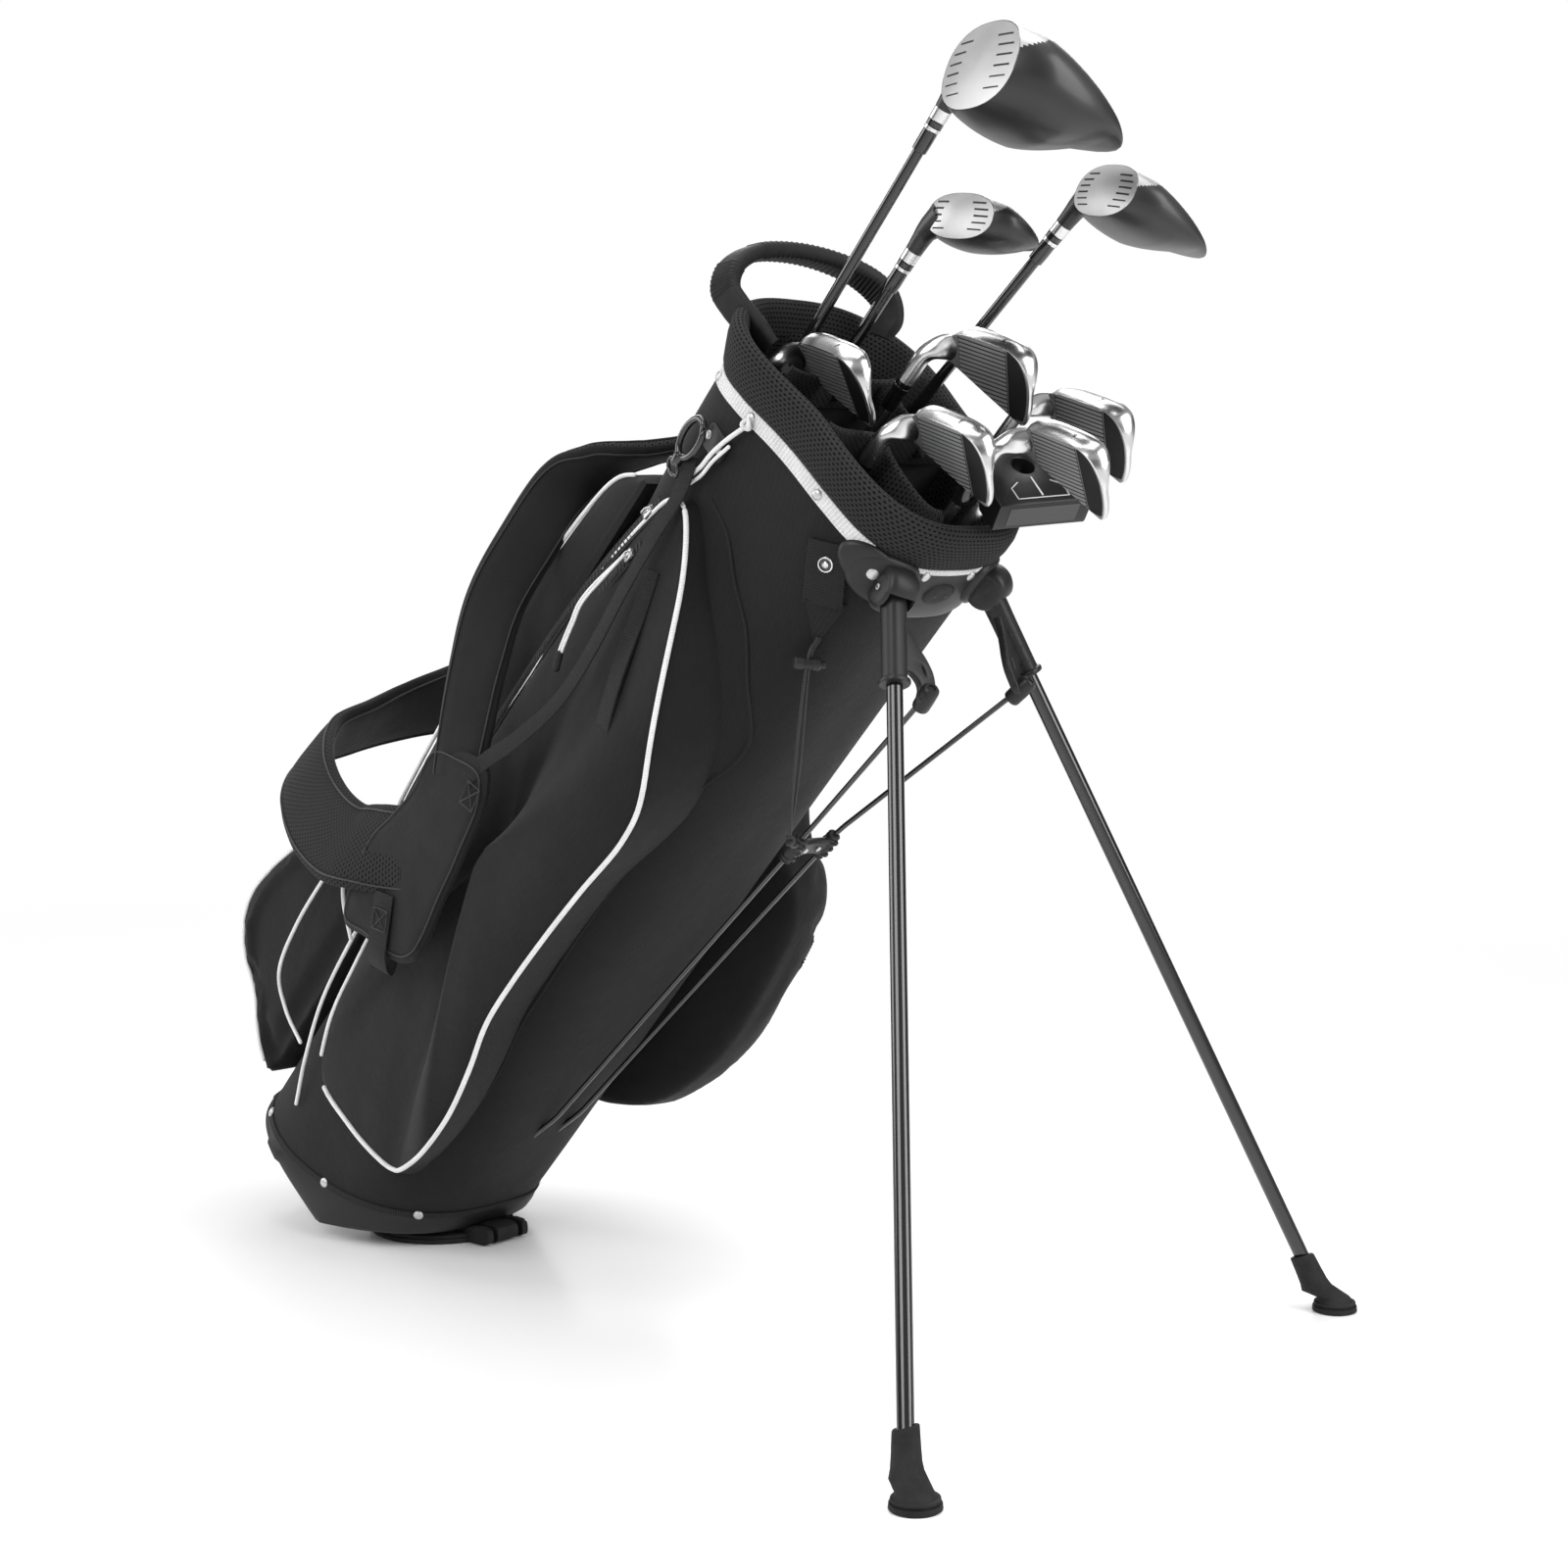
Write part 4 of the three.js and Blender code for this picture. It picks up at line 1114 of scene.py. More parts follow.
def iron_head(name, spec, frame_matrix):
    shape = Shape(name + "_head_shell", frame_matrix, "chrome", "face", "dark_paint_and_shade", "satin", "toe")
    tilt = Matrix.Translation((6, 2, spec["hosel"])) @ Matrix.Rotation(IRON_TILT, 4, "Y")
    lean = tilt @ Matrix.Rotation(math.radians(spec["loft"]), 4, "X")
    outline = [Vector((p.x, 0, p.y)) for p in curve_points([Vector((x, z, 0)) for x, z in IRON_OUTLINE], 144,
                                                           True)]
    count = len(outline)
    middle = Vector((42, 0, -24))
    out_way = []
    for i in range(count):
        along = outline[(i + 1) % count] - outline[i - 1]
        out_way.append(Vector((along.z, 0, -along.x)).normalized())
        if out_way[-1].dot(outline[i] - middle) < 0:
            out_way[-1].negate()

    def sole_share(p):
        """1 at the sole, fading to 0 round the toe and at the topline."""
        low = min(1.0, max(0.0, (p.z + 34) / 34))
        return low * low * (3 - 2 * low)

    # from the face round the edge to the back: (inset, depth) with the sole wide and the topline thin
    rings = []
    for inset, depth, share in ((2.2, 0.0, 0.0), (1.0, 0.05, 0.0), (0.3, 0.5, 0.0), (0.0, 1.3, 0.0),
                                (-0.5, 0, 0.35), (-0.3, 0, 0.7), (0.4, 0, 0.92), (1.8, 0, 1.0),
                                (4.2, -0.6, 1.0)):
        ring = []
        for p, way in zip(outline, out_way):
            thick = 5.2 + 13.5 * sole_share(p)
            curl = 2.6 * sole_share(p) * math.sin(math.pi * share)
            y = depth + thick * share
            ring.append(lean @ (p - way * inset + way * curl * 0.4 + Vector((0, y, 0))))
        rings.append(ring)
    hollow = []
    for p, way in zip(outline, out_way):
        hollow.append(lean @ (middle + (p - middle) * 0.84 + Vector((0, 5.0 + 6 * sole_share(p), 0))))
    rings.append(hollow)
    rings.append([lean @ (middle + (p - middle) * 0.8 + Vector((0, 4.2, 0))) for p in outline])
    # the face is filled by shrinking its edge on a line from heel to toe, which keeps the plane flat
    face = []
    for s in (0.0, 0.35, 0.7, 0.9):
        face.append([lean @ (middle + (p - way * 2.2 - middle) * s) for p, way in zip(outline, out_way)])
    first = len(face)

    def paint(r, i):
        if r <= first:
            return 3
        return 3 if r >= first + len(rings) - 2 else 0
    shape.loft(face + rings, caps=(True, True), slot_of=paint)

    # between a straight heel line and a toe line the face is milled: satin bars stand over a plate painted
    # near black as the shade in the grooves
    heel_line, toe_line = 9.0, 58.0

    def span(z):
        xs = []
        for i in range(count):
            a, b = outline[i], outline[(i + 1) % count]
            if (a.z - z) * (b.z - z) <= 0 and abs(a.z - b.z) > 1e-6:
                xs.append(a.x + (b.x - a.x) * (z - a.z) / (b.z - a.z))
        return (min(xs) + 2.6, max(xs) - 2.6) if len(xs) > 1 else None

    def field(low_x, high_x, lift, slot, z_from=1.2, z_to=-53.0, step=1.0):
        """A thin plate on the face between two x values, clipped to the face's outline."""
        rings = []
        z = z_from
        while z > z_to:
            ends = span(z)
            if ends:
                x0, x1 = max(ends[0], low_x), min(ends[1], high_x)
                if x1 - x0 > 0.8:
                    rings.append([lean @ Vector(p)
                                  for p in ((x0, 0.2, z), (x1, 0.2, z), (x1, -lift, z), (x0, -lift, z))])
            z -= step
        if len(rings) > 1:
            shape.loft(rings, slot)
    # painted shade: the plate under the bars is coloured near black
    field(heel_line, toe_line, 0.06, 2)
    # painted reflection: the polished toe of the face is coloured as dark metal
    field(toe_line + 0.9, 90, 0.10, 4)
    for k in range(17):
        top = 1.0 - 3.4 * k
        field(heel_line + 0.8, toe_line - 0.8, 0.3, 1, top, top - 2.2, 0.54)

    # hosel: a straight socket that swells and bends into the heel
    rim = 6.5
    knee, into, heel_end = Vector((0, 0, 35)), lean @ Vector((-3, 3.4,
                                                              -12.5)), lean @ Vector((11, 3.9, -12.8))
    path = [Vector((0, 0, 0)), Vector((0, 0, 10))]
    start = Vector((0, 0, 20))
    bend_steps = 26
    for k in range(bend_steps + 1):
        t = k / bend_steps
        path.append(start * (1 - t) ** 3 + knee * 3 * t * (1 - t) ** 2 + into * 3 * t * t * (1 - t)
                    + heel_end * t**3)
    facing = (lean.to_3x3() @ Vector((0, 1, 0))).normalized()
    ups = [Vector((0, 1, 0)).lerp(facing, smooth_step(2, len(path) - 6, k)).normalized()
           for k in range(len(path))]
    rings = []
    for k, (p, a, b) in enumerate(frames_along(path, ups)):
        t = smooth_step(3, len(path) - 4, k)
        u, v = rim + 5.0 * t, rim - 3.0 * t
        rings.append([p + a * x * u + b * y * v for x, y in circle(1, 48)])
    rings.insert(0, [Vector((x, y, -0.01)) for x, y in circle(rim - 0.6, 48)])
    shape.loft(rings, 0)

    # the club's number, cut into the sole near the toe
    digit = bpy.data.curves.new(name + "_digit", "FONT")
    digit.body = spec["digit"]
    digit.size = 6.4
    digit.extrude = 0.12
    made = frozen(name + "_digit", digit)
    shell = shape.add(name, (name + "_head",), "chrome", 35)
    inverse = (frame_matrix @ lean).inverted()
    tree = BVHTree.FromPolygons([inverse @ v.co for v in shell.data.vertices],
                                [tuple(f.vertices) for f in shell.data.polygons])
    hit, normal, _, _ = tree.ray_cast(Vector((50, 8.5, 40)), Vector((0, 0, -1)))
    if hit is not None:
        normal = normal if normal.z > 0 else -normal
        seat = aimed(hit + normal * 0.05, normal, (0, 1, 0))
        for v in made.vertices:
            v.co = frame_matrix @ lean @ seat @ (v.co - Vector((2, 2.4, 0)))
        made.materials.append(MAT["dark_paint_and_shade"])
        place_object(name + "_number", made, name)


def putter_head(name, spec, frame_matrix):
    shape = Shape(name + "_head_shell", frame_matrix, "mallet", "mark", "chrome", "toe")
    tilt = Matrix.Translation((0, 0, 26)) @ Matrix.Rotation(math.radians(72 - 90), 4,
                                                            "Y") @ Matrix.Translation((36, -28, 0))
    outer = [Vector((-40, 0)), Vector((40, 0)), Vector((40, 24))]
    outer += [Vector((40 * math.cos(a), 26 + 40 * math.sin(a)))
              for a in [math.pi * k / 36 for k in range(1, 36)]]
    outer += [Vector((-40, 24))]
    dense = []
    for a, b in zip(outer, outer[1:] + outer[:1]):
        pieces = max(1, round((b - a).length / 3.5))
        dense += [a.lerp(b, k / pieces) for k in range(pieces)]
    hole_centre, hole_radius = Vector((0, 42)), 9.0
    inner = [hole_centre + (p - hole_centre).normalized() * hole_radius for p in dense]
    rings = []
    for inset, z in ((1.6, 24), (0.4, 23.4), (0.0, 22), (0.0, 3), (0.5, 0.8), (2.0, 0)):
        rings.append([Vector((*(p + (hole_centre - p).normalized() * inset), z)) for p in dense])
    for radius, z in ((1.2, 0), (0.3, 0.6), (0, 2), (0, 22), (0.3, 23.4), (1.2, 24)):
        rings.append([Vector((*(hole_centre + (p - hole_centre).normalized() * (hole_radius + radius)), z))
                      for p in inner])
    rings = [[tilt @ p for p in ring] for ring in rings]
    shape.loft(rings + [rings[0]], 0, caps=(False, False))
    up = tilt.to_3x3() @ Vector((0, 0, 1))

    def line(points, z, normal, width=1.0):
        ribbon(shape, [tilt @ Vector((x, y, z)) for x, y in points], [normal] * len(points),
               [width] * len(points), 0.1, 1)
    for z, normal in ((24.1, up), (-0.1, -up)):
        line([(-22, 6), (-22, 18), (-14, 24)], z, normal, 0.9)
        line([(-22, 6), (0, 6), (22, 6)], z, normal, 0.9)
        line([(22, 6), (22, 18), (14, 24)], z, normal, 0.9)
        line([(0, 8), (0, 18), (0, 29)], z, normal, 1.4)
    # steel face insert, coloured as dark metal: a painted reflection of dark surroundings
    face = [tilt @ Vector(p) for p in ((-30, -0.25, 4), (30, -0.25, 4), (30, -0.25, 20), (-30, -0.25, 20))]
    back = [tilt @ Vector(p) for p in ((-30, 0.5, 4), (30, 0.5, 4), (30, 0.5, 20), (-30, 0.5, 20))]
    shape.loft([back, face], 3)
    shape.lathe([(5.4, 0), (6.2, 0.8), (6.2, 30), (5.0, 36)], Matrix.Identity(4), 36, 2)
    shape.add(name, (name + "_head",), "plastic", 35)


def club(name, spec):
    matrix, length = club_frame(name, spec)
    steel = spec["kind"] != "wood"
    tip = spec["tip"]
    grip_end = 268 - length
    taper = (7.4 - tip) / 900
    shaft = Shape(name + "_shaft_tube", matrix, "steel" if steel else "shaft", "satin")
    profile = [(6.4, -length + 8.4), (7.4 - taper * 268, grip_end + 4)]
    if steel:
        # drawn steel steps down in small collars
        steps = 14
        for k in range(steps):
            z0 = grip_end + 30 + (-150 - grip_end - 30) * k / steps
            radius = 7.4 - taper * 268 - (7.4 - taper * 268 - tip) * (k + 1) / steps
            profile += [(profile[-1][0], z0), (radius, z0 + 1.6)]
        profile.append((tip, -150))
    else:
        profile.append((tip, -150))
    profile += [(tip, 21)]
    shaft.lathe(profile, Matrix.Identity(4), 32)
    shaft.add(name, (name + "_shaft",), "steel" if steel else "lacquer", 25)

    grip = Shape(name + "_grip_sleeve", matrix, "grip")
    rings = []
    for k in range(135):
        z = -length + 2 * k
        radius = 13 + (8.6 - 13) * max(0.0, (2 * k - 12) / 256)
        rings.append((radius - (0.55 if k % 3 == 0 and 8 < k < 126 else 0.0), z))
    grip.lathe([(11.5, -length)] + rings[1:] + [(7.6, -length + 270)], Matrix.Identity(4), 40)
    grip.add(name, (name + "_grip",), "rubber", 25)

    if spec["kind"] != "putter":
        ferrule = Shape(name + "_ferrule_cone", matrix, "shaft", "chrome")
        profile = [(tip + 0.4, -FERRULE), (tip + 1.3, -FERRULE + 0.6), (tip + 1.5, -FERRULE + 7),
                   (5.9, -8.4), (6.1, -8.0)]
        ring_slots = len(profile) - 1
        profile += [(6.35, -7.6), (6.4, -5.0), (6.1, -4.6), (6.4, -4.2), (6.45, -0.4)]
        bright = spec["kind"] == "wood"
        ferrule.lathe(profile, Matrix.Identity(4), 36,
                      slot_of=lambda r, i: 1 if bright and ring_slots <= r < ring_slots + 2 else 0)
        ferrule.add(name, (name + "_ferrule",), "lacquer", 25)
    {"wood": wood_head, "iron": iron_head, "putter": putter_head}[spec["kind"]](name, spec, matrix)


for club_name, club_spec in CLUBS.items():
    club(club_name, club_spec)

# ---------------------------------------------------------------- pockets


def settle(piece, keep, limit):
    """Lets a sewn piece find its folds in a cloth run under light air pressure.

    `keep` gives how firmly a point is held, and no point moves further than `limit`."""
    pressure, stiff, frames, voxel = 3.0, 12, 18, 5.0
    limit *= MM
    remesh = piece.modifiers.new("even", "REMESH")
    remesh.mode = "VOXEL"
    remesh.voxel_size = voxel * MM
    apply_modifiers(piece)
    before = [v.co.copy() for v in piece.data.vertices]
    held = piece.vertex_groups.new(name="held")
    for v in piece.data.vertices:
        share = keep(TO_BAG @ v.co)
        if share > 0:
            held.add([v.index], share, "REPLACE")
    cloth = piece.modifiers.new("cloth", "CLOTH")
    values = cloth.settings
    values.quality = 5
    values.mass = 0.25
    values.tension_stiffness = stiff
    values.compression_stiffness = stiff
    values.shear_stiffness = stiff * 0.4
    values.bending_stiffness = 0.6
    values.use_pressure = True
    values.uniform_pressure_force = pressure
    values.effector_weights.gravity = 0
    values.vertex_group_mass = "held"
    cloth.collision_settings.use_collision = False
    cloth.point_cache.frame_start = 1
    cloth.point_cache.frame_end = frames
    world = bpy.context.scene
    for frame_number in range(1, frames + 1):
        world.frame_set(frame_number)
    settled = piece.evaluated_get(bpy.context.evaluated_depsgraph_get()).to_mesh()
    moved = [v.co.copy() for v in settled.vertices]
    piece.modifiers.clear()
    for v, old, new in zip(piece.data.vertices, before, moved):
        step = new - old
        if step.length > limit:
            step *= limit / step.length
        v.co = old + step
    world.frame_set(1)
    for f in piece.data.polygons:
        f.use_smooth = True


def apply_modifiers(piece):
    """Replaces a piece's mesh with its evaluated one."""
    graph = bpy.context.evaluated_depsgraph_get()
    made = bpy.data.meshes.new_from_object(piece.evaluated_get(graph))
    materials = list(piece.data.materials)
    piece.modifiers.clear()
    piece.data = made
    if not made.materials:
        for m in materials:
            made.materials.append(m)


def wall_place(x, z, side, grow):
    """A point over the bag's near or far wall; past the wall's front or back end it stays at that end."""
    angle = angle_of_x(x, side)
    base = on_body(angle, z)
    return base + oval_normal(angle) * grow


def pocket(name, outline, side, edge, puff, flare, replaced):
    """A sewn pocket on a side wall: a gusset, an edge `edge` off the wall and a puffed face.

    The outline is in (x, z). Gives the edge's points and the outline's."""
    samples = 200
    loop = flat_loop(outline, samples)
    middle = Vector(((max(p.x for p in loop) + min(p.x for p in loop)) / 2,
                     (max(p.y for p in loop) + min(p.y for p in loop)) / 2))
    shape = Shape(name, BAG, "twill")
    rings = []
    out_way = []
    for i in range(samples):
        along = loop[(i + 1) % samples] - loop[i - 1]
        way = Vector((along.y, -along.x)).normalized()
        out_way.append(way if way.dot(loop[i] - middle) > 0 else -way)

    def height(p):
        return edge(p.x, p.y)

    for share in (0.0, 0.06, 0.3, 0.6, 0.85, 1.0):
        ring = []
        for p, way in zip(loop, out_way):
            spread = flare(p.x, p.y) * (1 - share) ** 1.15
            q = p + way * spread
            fold = bend_noise((q.x, q.y, share * 40), 46, 1.7) * 2.2 * math.sin(math.pi * share)
            ring.append(wall_place(q.x, q.y, side, -0.4 + height(p) * share + fold))
        rings.append(ring)
    for s in (0.985, 0.96, 0.92, 0.86, 0.78, 0.68, 0.57, 0.46, 0.35, 0.24, 0.14, 0.05):
        ring = []
        for p in loop:
            q = middle + (p - middle) * s
            body = puff * (1 - s**3) ** 0.7
            fold = bend_noise((q.x + 0.3 * q.y, q.y * 0.3, 0), 34, 4.0) * 3.6 * (1 - s**6)
            ring.append(wall_place(q.x, q.y, side, height(p) * (0.94 + 0.06 * s) + body + fold))
        rings.append(ring)
    shape.loft(rings, caps=(False, True))
    shape.add("bag", replaced, "fabric", 60)
    return [wall_place(p.x, p.y, side, height(p) + 1.0) for p in loop], loop


def skin_of(piece):
    """A search tree of a piece's surface, in the bag's frame."""
    return BVHTree.FromPolygons([TO_BAG @ v.co for v in piece.data.vertices],
                                [tuple(f.vertices) for f in piece.data.polygons])


def hug(path, piece, lift):
    """Lays a path on a settled piece, just off its surface, and evens it out."""
    tree = skin_of(piece)
    laid = []
    for p in path:
        spot, normal, _, _ = tree.find_nearest(p)
        laid.append(spot + normal * lift)
    for _ in range(3):
        laid = [laid[0]] + [(a + b * 2 + c) / 4 for a, b, c in zip(laid, laid[1:], laid[2:])] + [laid[-1]]
    return laid


def piping(name, path, radius=2.1):
    shape = Shape(name, BAG, "white_cord")
    round_bar(shape, path, radius, 12)
    shape.add()


def near_pocket():
    front = [(-38, 722), (-8, 694), (18, 658), (46, 603), (66, 545), (71, 500), (68, 440), (66, 387),
             (65, 330), (66, 283), (72, 235),
             (76, 183), (75, 130), (69, 88), (62, 75), (45, 69), (7, 63), (-48, 62)]
    back = [(-66, 100), (-74, 150), (-88, 215), (-92, 300), (-92, 400), (-88, 500), (-87, 561), (-80, 628),
            (-66, 692), (-56, 716)]

    def edge(x, z):
        high = 34 * smooth_step(-95, 20, x) + 8
        return high * smooth_step(40, 150, z) * (1 - 0.55 * smooth_step(560, 730, z)) + 2.5

    def flare(x, z):
        forward = smooth_step(-10, 50, x)
        return 2 + forward * (9 + 19 * smooth_step(430, 600, z) - 6 * smooth_step(650, 730, z))
    rim, loop = pocket("near_pocket_shell", front + back, -1, edge, 7.0, flare, ("near_pocket",))
    count = len(rim)
    start, stop = (min(range(count), key=lambda i: (loop[i] - Vector(end)).length)
                   for end in (front[0], front[-1]))

    def run(first, last):
        """The rim from one corner on to the other."""
        return [rim[(first + k) % count] for k in range((last - first) % count)]
    piping("near_pocket_piping", run(start, stop))
    piping("near_pocket_back_piping", run(stop, start)[4:], 1.8)
    # seam ridge where the gusset meets the wall
    seam = []
    for x, z in ((-34, 738), (-6, 728), (22, 706), (52, 684), (74, 652), (94, 616), (96, 588), (88, 552),
                 (82, 500), (78, 440), (77, 380), (78, 320), (79, 270), (85, 215), (86, 150), (80, 95)):
        seam.append(wall_place(x, z, -1, 1.1))
    shape = Shape("near_pocket_seam", BAG, "webbing")
    sweep(shape, curve_points(seam, 120), rounded_bar(3.0, 1.3, 0.6), [(0, -1, 0)] * 121)
    shape.add()


def far_pouch():
    """The big puffed garment pocket on the far side."""
    outline = [(-60, 150), (0, 139), (66, 132), (114, 165), (146, 214), (162, 290), (155, 380), (140, 436),
               (96, 470), (50, 505), (0, 520), (-60, 524)]
    loop = flat_loop(outline, 160)
    middle = Vector((44, 330))
    shape = Shape("far_pouch_shell", BAG, "twill")
    rings = []
    for s, y in ((1.0, 82), (1.0, 90), (1.012, 100), (1.02, 112), (1.012, 123), (0.985, 133), (0.93, 141),
                 (0.85, 145.5), (0.74, 148), (0.6, 149.5), (0.45, 150.5), (0.3, 151), (0.15, 151.3),
                 (0.05, 151.4)):
        ring = []
        for p in loop:
            q = middle + (p - middle) * s
            fold = bend_noise((q.x * 1.3, q.y * 0.6, y), 42, 7.0) * 3.4 * smooth_step(86, 110, y)
            crease = 2.2 * math.sin(q.x / 15 + 0.6 * math.sin(q.y / 60)) * smooth_step(110, 140, y)
            ring.append(Vector((q.x + fold * 0.5, y + crease * 0.6 + fold, q.y + fold * 0.4)))
        rings.append(ring)
    # the wall side, kept inside the pocket's own outline
    back = [Vector((middle.x + (p.x - middle.x) * 0.9, 80, middle.y + (p.y - middle.y) * 0.9)) for p in loop]
    shape.loft([back] + rings, caps=(True, True))
    piece = shape.add("bag", ("far_pocket",), "fabric", 60)
    settle(piece, lambda p: 1.0 if p.y < 98 else 0.0, 8)
    arc = [middle + (p - middle) * 0.985 for p in loop[28:88:2]]
    laid = hug([Vector((q.x, 134, q.y)) for q in arc], piece, 0.7)
    tree = skin_of(piece)
    zip_band("far_pouch_zip", laid, [tree.find_nearest(p)[1] for p in laid], 10)


def zip_band(name, path, ups, width, puller_at=0.2):
    """A closed zip: cloth tape, two rows of coil and a metal slider."""
    shape = Shape(name, BAG, "webbing", "black_cord", "zinc")
    path = [Vector(p) for p in path]
    sweep(shape, path, rounded_bar(width, 1.0, 0.5), ups)
    frames = frames_along(path, ups)
    for (p, side, normal), (q, _, _) in zip(frames, frames[1:]):
        run = (q - p).length
        count = max(1, int(run / 2.6))
        along = (q - p).normalized()
        for k in range(count):
            at = p.lerp(q, k / count) + normal * 0.9
            round_bar(shape, [at - side * 2.4 + along * 0.4, at + side * 2.4 - along * 0.4], 0.8, 6, 1)
    index = int(puller_at * (len(path) - 1))
    p, side, normal = frames[index]
    along = side.cross(normal)
    seat = axes(p + normal * 1.6, side, along, normal)
    shape.loft([[seat @ Vector((x * s, y * s, z)) for x, y in rounded_bar(8.5, 12, 2.5)] for z,
                s in ((0, 1), (1.8, 0.96), (2.4, 0.8))], 2)
    bridge = [seat @ Vector((0, y, z)) for y, z in ((-4, 2), (-3, 4.6), (3, 4.6), (4, 2))]
    sweep(shape, rounded_path(bridge, 2), rounded_bar(2.6, 1.2, 0.5), [side] * len(rounded_path(bridge, 2)),
          slot=2)
    shape.add()
    return seat


def cord_pull(name, seat, points):
    """A doubled cord loop through a slider, with a moulded end."""
    shape = Shape(name, BAG, "white_cord", "rubber", "zinc")
    first = [seat @ Vector((0, 0, 4.2))]
    path = curve_points(first + [Vector(p) for p in points], 40)
    side = Vector((1, 0, 0.3)).normalized()
    for offset in (-1.3, 1.3):
        round_bar(shape, [p + side * offset * min(1, i / 6) for i, p in enumerate(path)], 1.15, 10, 0)
    tail = path[-9:]
    round_bar(shape, tail, 3.1, 14, 1)
    shape.add()


def ball_pocket():
    """Deep pocket low on the back, with two piped seams."""
    shape = Shape("ball_pocket_shell", BAG, "twill")
    profile = [(-112, -8), (-140, 4), (-172, 28), (-204, 46), (-226, 70), (-237, 105), (-232, 150),
               (-214, 196), (-184, 228), (-150, 250),
               (-114, 262)]
    curve = curve_points([Vector((x, z, 0)) for x, z in profile], 70)
    rings = []
    for y, s in ((-74, 0.80), (-80, 0.9), (-83, 0.96), (-82, 0.99), (-76, 1.0), (-60, 1.01), (-35, 1.015),
                 (0, 1.02), (35, 1.015), (60, 1.01), (76, 1.0), (82, 0.99), (83, 0.96), (80, 0.9),
                 (74, 0.80)):
        ring = []
        for k, p in enumerate(curve):
            x = -112 + (p.x + 112) * s
            z = 115 + (p.y - 115) * (0.5 + 0.5 * s)
            fold = bend_noise((x, y, z * 0.6), 38, 5.0) * 2.2 * smooth_step(0, 12, min(k, 70 - k))
            ring.append(Vector((x + fold, y + fold * 0.5, z)))
        back = [Vector((-111, p.y, p.z)) for p in (ring[-1], ring[0])]
        rings.append(ring + back)
    shape.loft(rings)
    piece = shape.add("bag", ("ball_pocket",), "fabric", 60)
    settle(piece, lambda p: 1.0 if p.x > -124 else 0.0, 7)
    for word, side in SIDE_WORDS:
        edge = [Vector((-112 + (p.x + 112) * 0.985 - 1, side * 83.5, p.y)) for p in curve[3:-3]]
        piping(f"ball_pocket_piping_{word}", hug(edge, piece, 1.0), 1.9)


def upper_pocket():
    shape = Shape("upper_pocket_shell", BAG, "twill")
    profile = [(-110, 270), (-135, 272), (-152, 286), (-158, 330), (-162, 400), (-162, 480), (-156, 560),
               (-149, 630), (-138, 672), (-112, 694)]
    curve = curve_points([Vector((x, z, 0)) for x, z in profile], 80)
    rings = []
    for y, s in ((-80, 0.2), (-76, 0.62), (-70, 0.88), (-60, 0.98), (-40, 1.02), (0, 1.06), (40, 1.02),
                 (60, 0.98), (70, 0.88), (76, 0.62), (80, 0.2)):
        ring = []
        for k, p in enumerate(curve):
            x = -108 + (p.x + 108) * s
            fold = bend_noise((x, y, p.y * 0.5), 44, 9.0) * 1.8 * smooth_step(0, 10, min(k, 80 - k))
            ring.append(Vector((x + fold, y, p.y)))
        rings.append(ring + [Vector((-104, y, ring[-1].z)), Vector((-104, y, ring[0].z))])
    shape.loft(rings)
    shape.add("bag", ("upper_pocket",), "fabric", 60)
    for word, side in SIDE_WORDS:
        path = [Vector((-108 + (p.x + 108) * 0.9 - 2, side * 70.5, p.y)) for p in curve[4:-4]]
        piping(f"upper_pocket_piping_{word}", path, 1.8)


near_pocket()
far_pouch()
ball_pocket()
upper_pocket()


# ---------------------------------------------------------------- shoulder straps


def cushion_section(width, thick):
    """A padded band: fat in the middle, pinched flat at both sewn edges."""
    out = []
    for a in turns(28):
        c = math.cos(a)
        out.append((width / 2 * power_of(c, 0.62),
                    thick / 2 * power_of(math.sin(a), 0.72) * (1 - 0.35 * abs(c) ** 4)))
    return out


def shoulder_strap(name, points, ways, replaced, width, thick, taper):
    path = curve_points(points, 120)
    ups = wide_ways(path, ways)
    section = cushion_section(width, thick)
    shape = Shape(name, BAG, "twill_smooth", "mesh")
    half = len(section) // 2
    band(shape, path, ups, section, lambda r, i: 1 if i >= half else 0, taper)
    shape.add("bag", replaced, "padding", 60)
    seams = Shape(name + "_seams", BAG, "black_cord")
    lines = [(edge * width * 0.42, face * thick * 0.385) for edge in (-1, 1) for face in (-1, 1)]
    for line in zip(*band_rings(path, ups, lines, taper)):
        round_bar(seams, line, 0.8, 8)
    seams.add()


def flat_panel(name, outline, y, thick, material):
    """A sewn flat panel parallel to the near wall, outlined in (x, z)."""
    puff = 2.0
    loop = flat_loop(outline, 128)
    middle = sum(loop, Vector((0, 0))) / len(loop)
    shape = Shape(name, BAG, material)
    rings = []
    for s, o in ((0.05, 1), (0.4, 1), (0.75, 0.97), (0.9, 0.85), (0.95, 0.6), (1.0, 0.3), (1.0, -0.3),
                 (0.95, -0.6), (0.9, -0.85), (0.75, -0.97), (0.4, -1), (0.05, -1)):
        ring = []
        for p in loop:
            q = middle + (p - middle) * s
            fold = bend_noise((q.x, q.y, 0), 40, 2.0) * puff
            ring.append(Vector((q.x, y - o * thick / 2 + fold, q.y)))
        rings.append(ring)
    shape.loft(rings)
    shape.add("bag", (), "padding", 60)
    line = []
    for p in loop:
        q = middle + (p - middle) * 0.93
        line.append(Vector((q.x, y - thick * 0.46 + bend_noise((q.x, q.y, 0), 40, 2.0) * puff, q.y)))
    stitch = Shape(name + "_seam", BAG, "black_cord")
    sweep(stitch, line, circle(0.7, 8), [(0, -1, 0.01)] * len(line), closed=True)
    stitch.add()


def web_strap(name, points, ways, width, thick=1.6):
    """A length of flat webbing."""
    path = curve_points(points, 90)
    shape = Shape(name, BAG, "webbing")
    band(shape, path, wide_ways(path, ways), rounded_bar(width, thick, 0.7, 3))
    shape.add()
    return path


